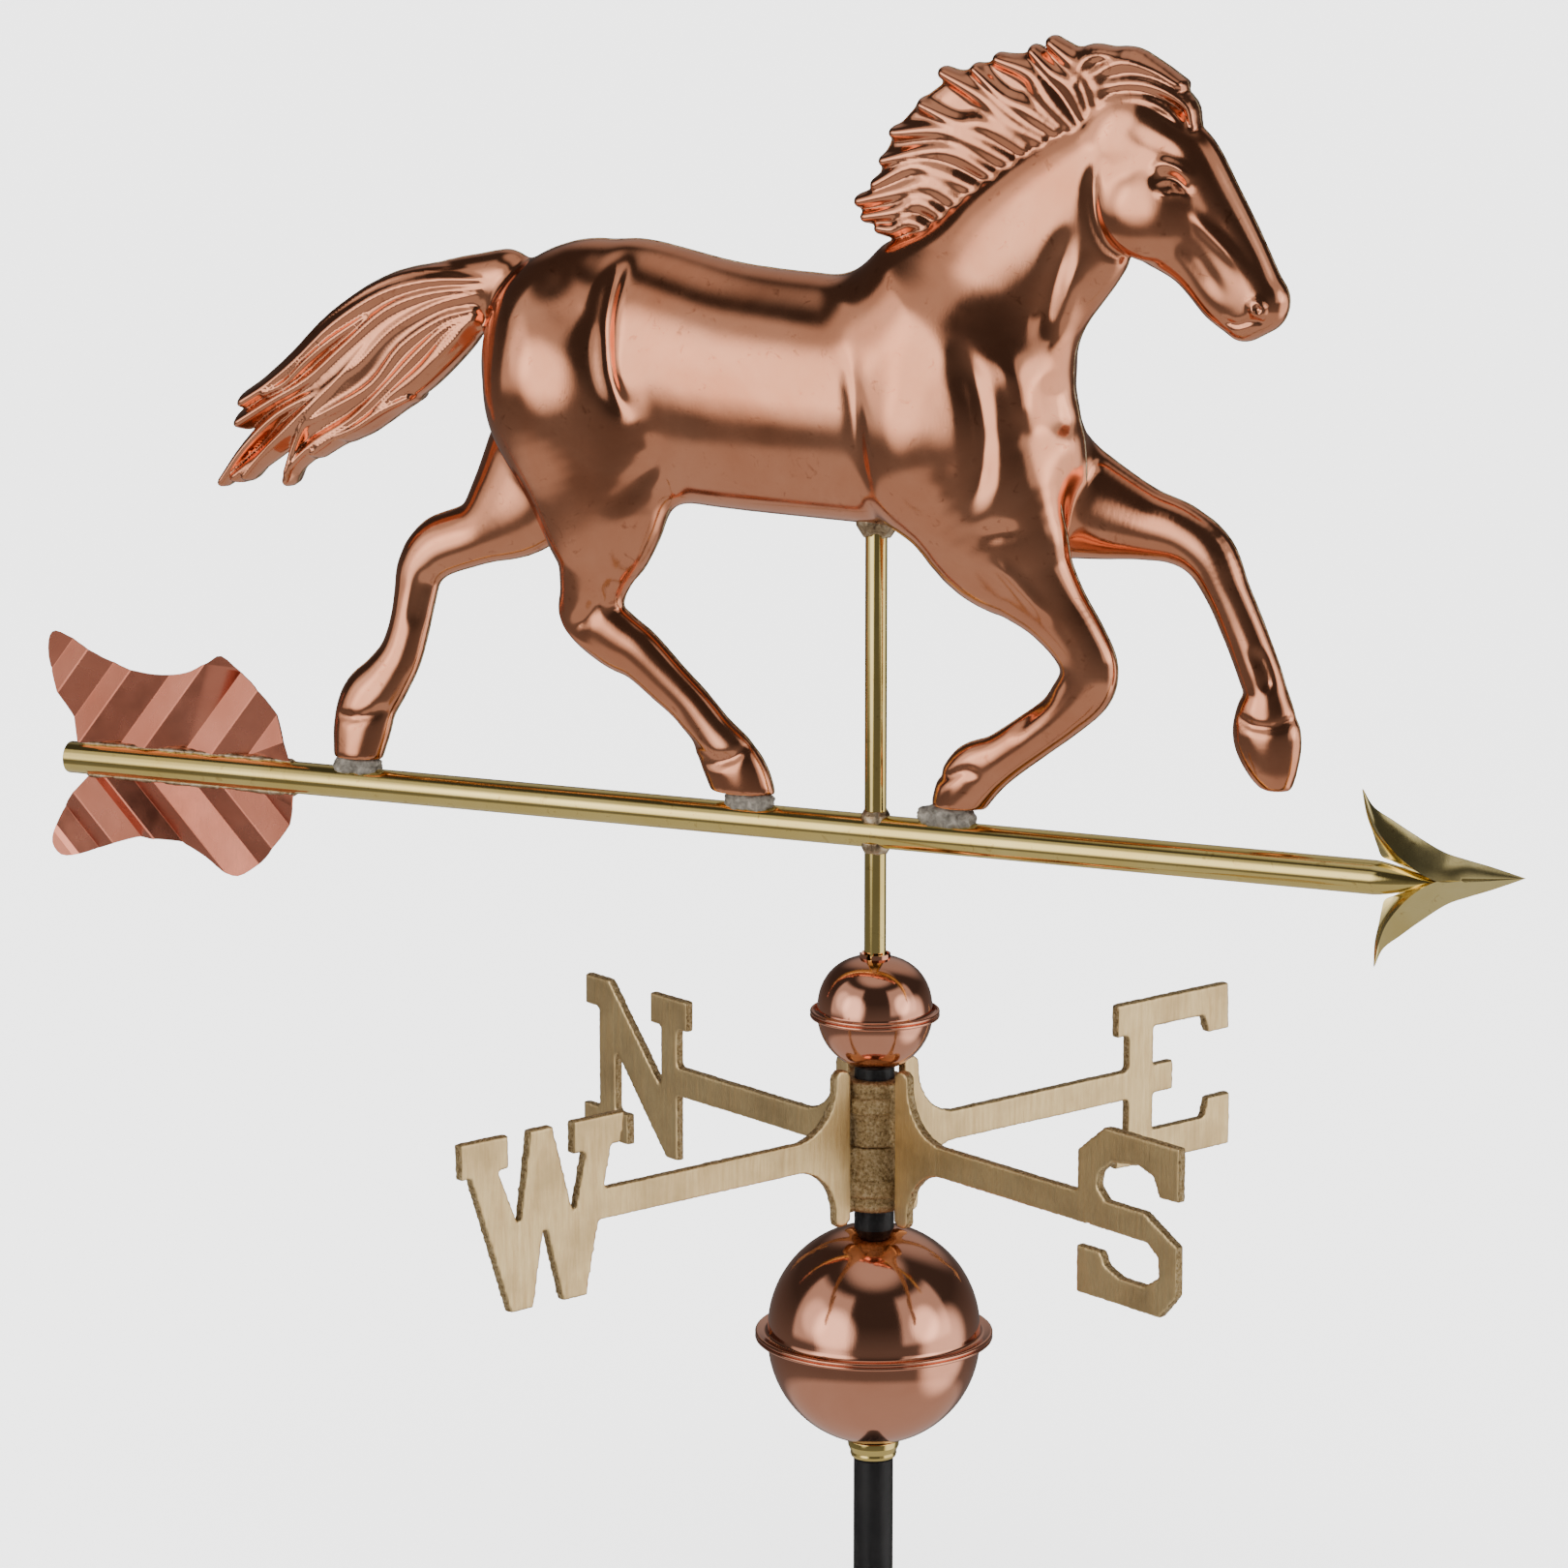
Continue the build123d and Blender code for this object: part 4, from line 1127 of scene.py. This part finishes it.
def settle_seams(points, quads, owner, side, groups):
    """Move each seam's points onto their mid-plane and back onto the surface along it."""
    for i, group in enumerate(groups):
        mine = owner == i
        seam = np.intersect1d(quads[mine & side], quads[mine & ~side])
        p = points[seam]
        for _ in range(3):
            p[:, 1] -= from_mid_plane(group, p)
            g = slopes(p, 0.5)
            g[:, 1] = 0
            step = horse_field(p) / np.maximum((g * g).sum(1), 0.3)
            p -= g * np.clip(step, -0.8, 0.8)[:, None]
        points[seam] = p


def build_horse():
    """Mesh the field, share its quads out to the pressed halves and run the seams' solder."""
    points, quads = mesh_field()
    groups = horse_groups(points)
    owner, side = halves(points, quads, groups)
    ease = easing(points, groups)
    points = relaxed(points, quads, 0.45 * ease, 8)
    settle_seams(points, quads, owner, side, groups)
    g = relaxed(slopes(points, 0.9), quads, 0.5 * ease, 8)
    normals = g / np.maximum(np.linalg.norm(g, axis=1), 1e-6)[:, None]
    a, b, c = (points[quads[:, i]] for i in range(3))
    if np.median(np.einsum("ij,ij->i", np.cross(b - a, c - a), normals[quads].mean(1))) < 0:
        quads = quads[:, ::-1]
    pieces = [("horse_half_left", "body", True, "horse_body_left"),
              ("horse_half_right", "body", False, "horse_body_right"),
              ("tail_half_left", "tail", True, "tail_left"),
              ("tail_half_right", "tail", False, "tail_right")]
    for leg in leg_tubes:
        left, right = ("outer", "inner") if leg.startswith("far") else ("inner", "outer")
        pieces.append((leg + "_shell_left", leg, True, f"{leg}_leg_{left}"))
        pieces.append((leg + "_shell_right", leg, False, f"{leg}_leg_{right}"))
    names = list(groups)
    for name, group, left, node in pieces:
        keep = (owner == names.index(group)) & (side == left)
        shell_piece(name, points, normals, quads, keep, [node])
    seam_beads(points, normals, quads, owner, side, len(names))


def edge_keys(quads, size):
    """A whole number for every side of every quad, the same from either of its faces."""
    ends = np.sort(np.concatenate([quads[:, [k, (k + 1) % 4]] for k in range(4)]), axis=1)
    return ends[:, 0].astype(np.int64) * size + ends[:, 1]


def seam_beads(points, normals, quads, owner, side, group_count):
    """Thin solder left along every seam between two halves."""
    verts, faces = [], []
    size = len(points)
    for i in range(group_count):
        mine = owner == i
        shared = np.intersect1d(edge_keys(quads[mine & side], size),
                                edge_keys(quads[mine & ~side], size))
        for chain in chains(np.stack([shared // size, shared % size], 1)):
            if len(chain) >= SHORTEST_BEAD:
                add_bead(points[chain], normals[chain], verts, faces)
    finish_piece("horse_seam_solder", np.concatenate(verts), faces, SEAM, "vane")


def chains(edges):
    """Edges joined end to end into lists of vertices."""
    links = {}
    for a, b in edges.tolist():
        links.setdefault(a, []).append(b)
        links.setdefault(b, []).append(a)
    seen, out = set(), []
    starts = [v for v, n in links.items() if len(n) != 2] + list(links)
    for start in starts:
        for first in links[start]:
            if (start, first) in seen:
                continue
            chain, here, came = [start], first, start
            seen.update({(start, first), (first, start)})
            while True:
                chain.append(here)
                onward = [v for v in links[here] if v != came and (here, v) not in seen]
                if len(links[here]) != 2 or not onward:
                    break
                came, here = here, onward[0]
                seen.update({(came, here), (here, came)})
            out.append(chain)
    return out


def add_bead(path, normals, verts, faces, sides=7):
    """A low rounded strip along path, its width wandering a little."""
    smooth = path.astype(float).copy()
    for _ in range(3):
        smooth[1:-1] = (smooth[:-2] + 2 * smooth[1:-1] + smooth[2:]) / 4
    ahead = np.gradient(smooth, axis=0)
    ahead /= np.maximum(np.linalg.norm(ahead, axis=1), 1e-6)[:, None]
    out = normals - ahead * np.einsum("ij,ij->i", normals, ahead)[:, None]
    out /= np.maximum(np.linalg.norm(out, axis=1), 1e-6)[:, None]
    across = np.cross(ahead, out)
    wander = np.array([noise.noise(Vector(p) * 0.11) for p in smooth.tolist()])
    half = 0.85 + 0.35 * wander
    high = 0.32 + 0.16 * wander
    taper = np.minimum(1, np.minimum(np.arange(len(path)), np.arange(len(path))[::-1]) / 4 + 0.15)
    half, high = half * taper, high * taper
    base = sum(len(v) for v in verts)
    ring = []
    for k in range(sides):
        a = 2 * math.pi * k / sides
        ring.append(smooth + across * (half * math.cos(a))[:, None]
                    + out * (high * math.sin(a))[:, None])
    verts.append(np.stack(ring, 1).reshape(-1, 3))
    faces += bar_faces(len(path), sides, base)


build_horse()


# =====================================================================================
# studio: pale floor and backdrop, soft boxes, camera
# =====================================================================================
def stage_material(name, tone, glow):
    """Matt paint that glows a little."""
    n = Nodes(name)
    grain = n.noise(3, 3)
    n.set(Base_Color=n.mix(grain, [c * 0.99 for c in tone], tone), Roughness=0.9,
          Specular_IOR_Level=0.0, Emission_Strength=glow)
    n.bsdf.inputs["Emission Color"].default_value = (*tone, 1)
    return n.mat


FLOOR_R, FLOOR_Z, COVE_R, WALL_TOP, DOME_HIGH = 4.6, -0.001, 2.2, 4.0, 3.0     # metres


def cyclorama():
    """Floor that curves up into a wall all round, left out of the metal's reflections."""
    wall = FLOOR_R + COVE_R
    profile = [(0.0, FLOOR_Z), (FLOOR_R, FLOOR_Z)]
    profile += [(FLOOR_R + COVE_R * math.sin(a), FLOOR_Z + COVE_R * (1 - math.cos(a)))
                for a in np.linspace(0.1, math.pi / 2, 14)]
    profile += [(wall, WALL_TOP)] + [(wall * math.cos(a), WALL_TOP + DOME_HIGH * math.sin(a))
                                     for a in np.linspace(0.2, math.pi / 2 - 0.01, 10)]
    steps, n = 96, len(profile)
    verts = [(r * math.cos(2 * math.pi * i / steps), r * math.sin(2 * math.pi * i / steps), z)
             for i in range(steps) for r, z in profile]
    faces = [[i * n + k, j * n + k, j * n + k + 1, i * n + k + 1]
             for i, j in around(steps) for k in range(n - 1)]
    mesh = bpy.data.meshes.new("cyclorama")
    mesh.from_pydata(verts, [], faces)
    mesh.polygons.foreach_set("use_smooth", [True] * len(mesh.polygons))
    mesh.materials.append(stage_material("pale_stage", (0.90, 0.90, 0.90), 0.75))
    stage = bpy.data.objects.new("cyclorama", mesh)
    bpy.context.scene.collection.objects.link(stage)
    stage.visible_glossy = stage.visible_shadow = False


# soft lights seen only in the metal: azimuth and elevation in degrees, angles where the
# light is full and where it has faded out, strength
GLOWS = [(-112, 6, 8, 30, 1.6), (-138, 14, 6, 22, 0.7), (-60, 84, 8, 34, 0.5),
         (-8, 12, 6, 22, 1.4), (16, -14, 12, 38, 1.2), (100, 40, 8, 40, 0.35)]
# large soft boxes either side: azimuths and elevations of their edges, strength
PANELS = [(-164, -96, -8, 46, 0.55), (-36, 24, -4, 44, 0.52)]
EDGE = 0.06             # half the width of a panel's soft edge


def ranged(tree, value, start, stop, low=0.0, high=1.0, kind="LINEAR"):
    """The value's way from start to stop, as a number from low to high."""
    node = tree.nodes.new("ShaderNodeMapRange")
    node.interpolation_type = kind
    for key, end in (("From Min", start), ("From Max", stop), ("To Min", low), ("To Max", high)):
        node.inputs[key].default_value = end
    tree.links.new(value, node.inputs["Value"])
    return node.outputs[0]


def summed(tree, a, b):
    """The sum of two values."""
    node = tree.nodes.new("ShaderNodeMath")
    tree.links.new(a, node.inputs[0])
    tree.links.new(b, node.inputs[1])
    return node.outputs[0]


def panel(tree, azimuth, height, west, east, low, high, strength):
    """Strength inside a soft-edged rectangle of directions, 0 outside it."""
    light = None
    for value, edge, soft in ((azimuth, math.radians(west), EDGE),
                              (azimuth, math.radians(east), -EDGE),
                              (height, math.sin(math.radians(low)), EDGE),
                              (height, math.sin(math.radians(high)), -EDGE)):
        step = ranged(tree, value, edge - soft, edge + soft, kind="SMOOTHSTEP")
        both = tree.nodes.new("ShaderNodeMath")
        both.operation = "MULTIPLY"
        both.inputs[0].default_value = strength
        if light:
            tree.links.new(light, both.inputs[0])
        tree.links.new(step, both.inputs[1])
        light = both.outputs[0]
    return light


def glow(tree, direction, bearing, elevation, full, faded, strength):
    """Strength of a soft round light around one direction."""
    a, e = math.radians(bearing), math.radians(elevation)
    dot = tree.nodes.new("ShaderNodeVectorMath")
    dot.operation = "DOT_PRODUCT"
    dot.inputs[1].default_value = (math.cos(e) * math.cos(a), math.cos(e) * math.sin(a),
                                   math.sin(e))
    tree.links.new(direction, dot.inputs[0])
    return ranged(tree, dot.outputs["Value"], math.cos(math.radians(faded)),
                  math.cos(math.radians(full)), high=strength, kind="SMOOTHERSTEP")


def reflections():
    """World behind the cyclorama: a dark studio with a pale floor, round lights and soft boxes."""
    world = bpy.data.worlds.new("studio")
    world.use_nodes = True
    tree = world.node_tree
    direction = tree.nodes.new("ShaderNodeTexCoord").outputs["Generated"]
    split = tree.nodes.new("ShaderNodeSeparateXYZ")
    tree.links.new(direction, split.inputs[0])
    height = split.outputs["Z"]
    room = ranged(tree, height, 0.3, -0.6, 0.05, 0.20)
    floor = ranged(tree, height, -0.50, -0.58, 0.0, 0.30)
    total = summed(tree, room, floor)
    for light in GLOWS:
        total = summed(tree, total, glow(tree, direction, *light))
    azimuth = tree.nodes.new("ShaderNodeMath")
    azimuth.operation = "ARCTAN2"
    tree.links.new(split.outputs["Y"], azimuth.inputs[0])
    tree.links.new(split.outputs["X"], azimuth.inputs[1])
    for box in PANELS:
        total = summed(tree, total, panel(tree, azimuth.outputs[0], height, *box))
    tree.links.new(total, tree.nodes["Background"].inputs[1])
    tree.nodes["Background"].inputs[0].default_value = (1.0, 0.98, 0.955, 1)
    bpy.context.scene.world = world


def soft_box(name, place, target, size, watts):
    """Square-on area light that the metal doesn't mirror."""
    data = bpy.data.lights.new(name, "AREA")
    data.shape = "RECTANGLE"
    data.size, data.size_y = size
    data.energy = watts
    lamp = bpy.data.objects.new(name, data)
    bpy.context.scene.collection.objects.link(lamp)
    lamp.location = place
    lamp.visible_glossy = False
    lamp.rotation_euler = (Vector(target) - Vector(place)).to_track_quat("-Z", "Y").to_euler()


def studio():
    cyclorama()
    reflections()
    middle = (0, 0, 0.55)
    soft_box("front_left", (-2.0, -2.6, 1.6), middle, (1.0, 1.0), 14)
    soft_box("overhead", (-0.1, -0.6, 2.9), middle, (2.2, 1.2), 30)


# where the photo was taken from, worked out: metres, degrees and a lens in millimetres
CAMERA_PLACE = (1.0398, -2.4759, 0.9946)
CAMERA_TILT, CAMERA_TURN, CAMERA_LENS = 78.2, 23.7, 133.93


def make_camera():
    data = bpy.data.cameras.new("photo_angle")
    data.lens, data.sensor_width = CAMERA_LENS, 36.0
    camera = bpy.data.objects.new("photo_angle", data)
    bpy.context.scene.collection.objects.link(camera)
    camera.location = CAMERA_PLACE
    camera.rotation_euler = (math.radians(CAMERA_TILT), 0, math.radians(CAMERA_TURN))
    bpy.context.scene.camera = camera


studio()
make_camera()
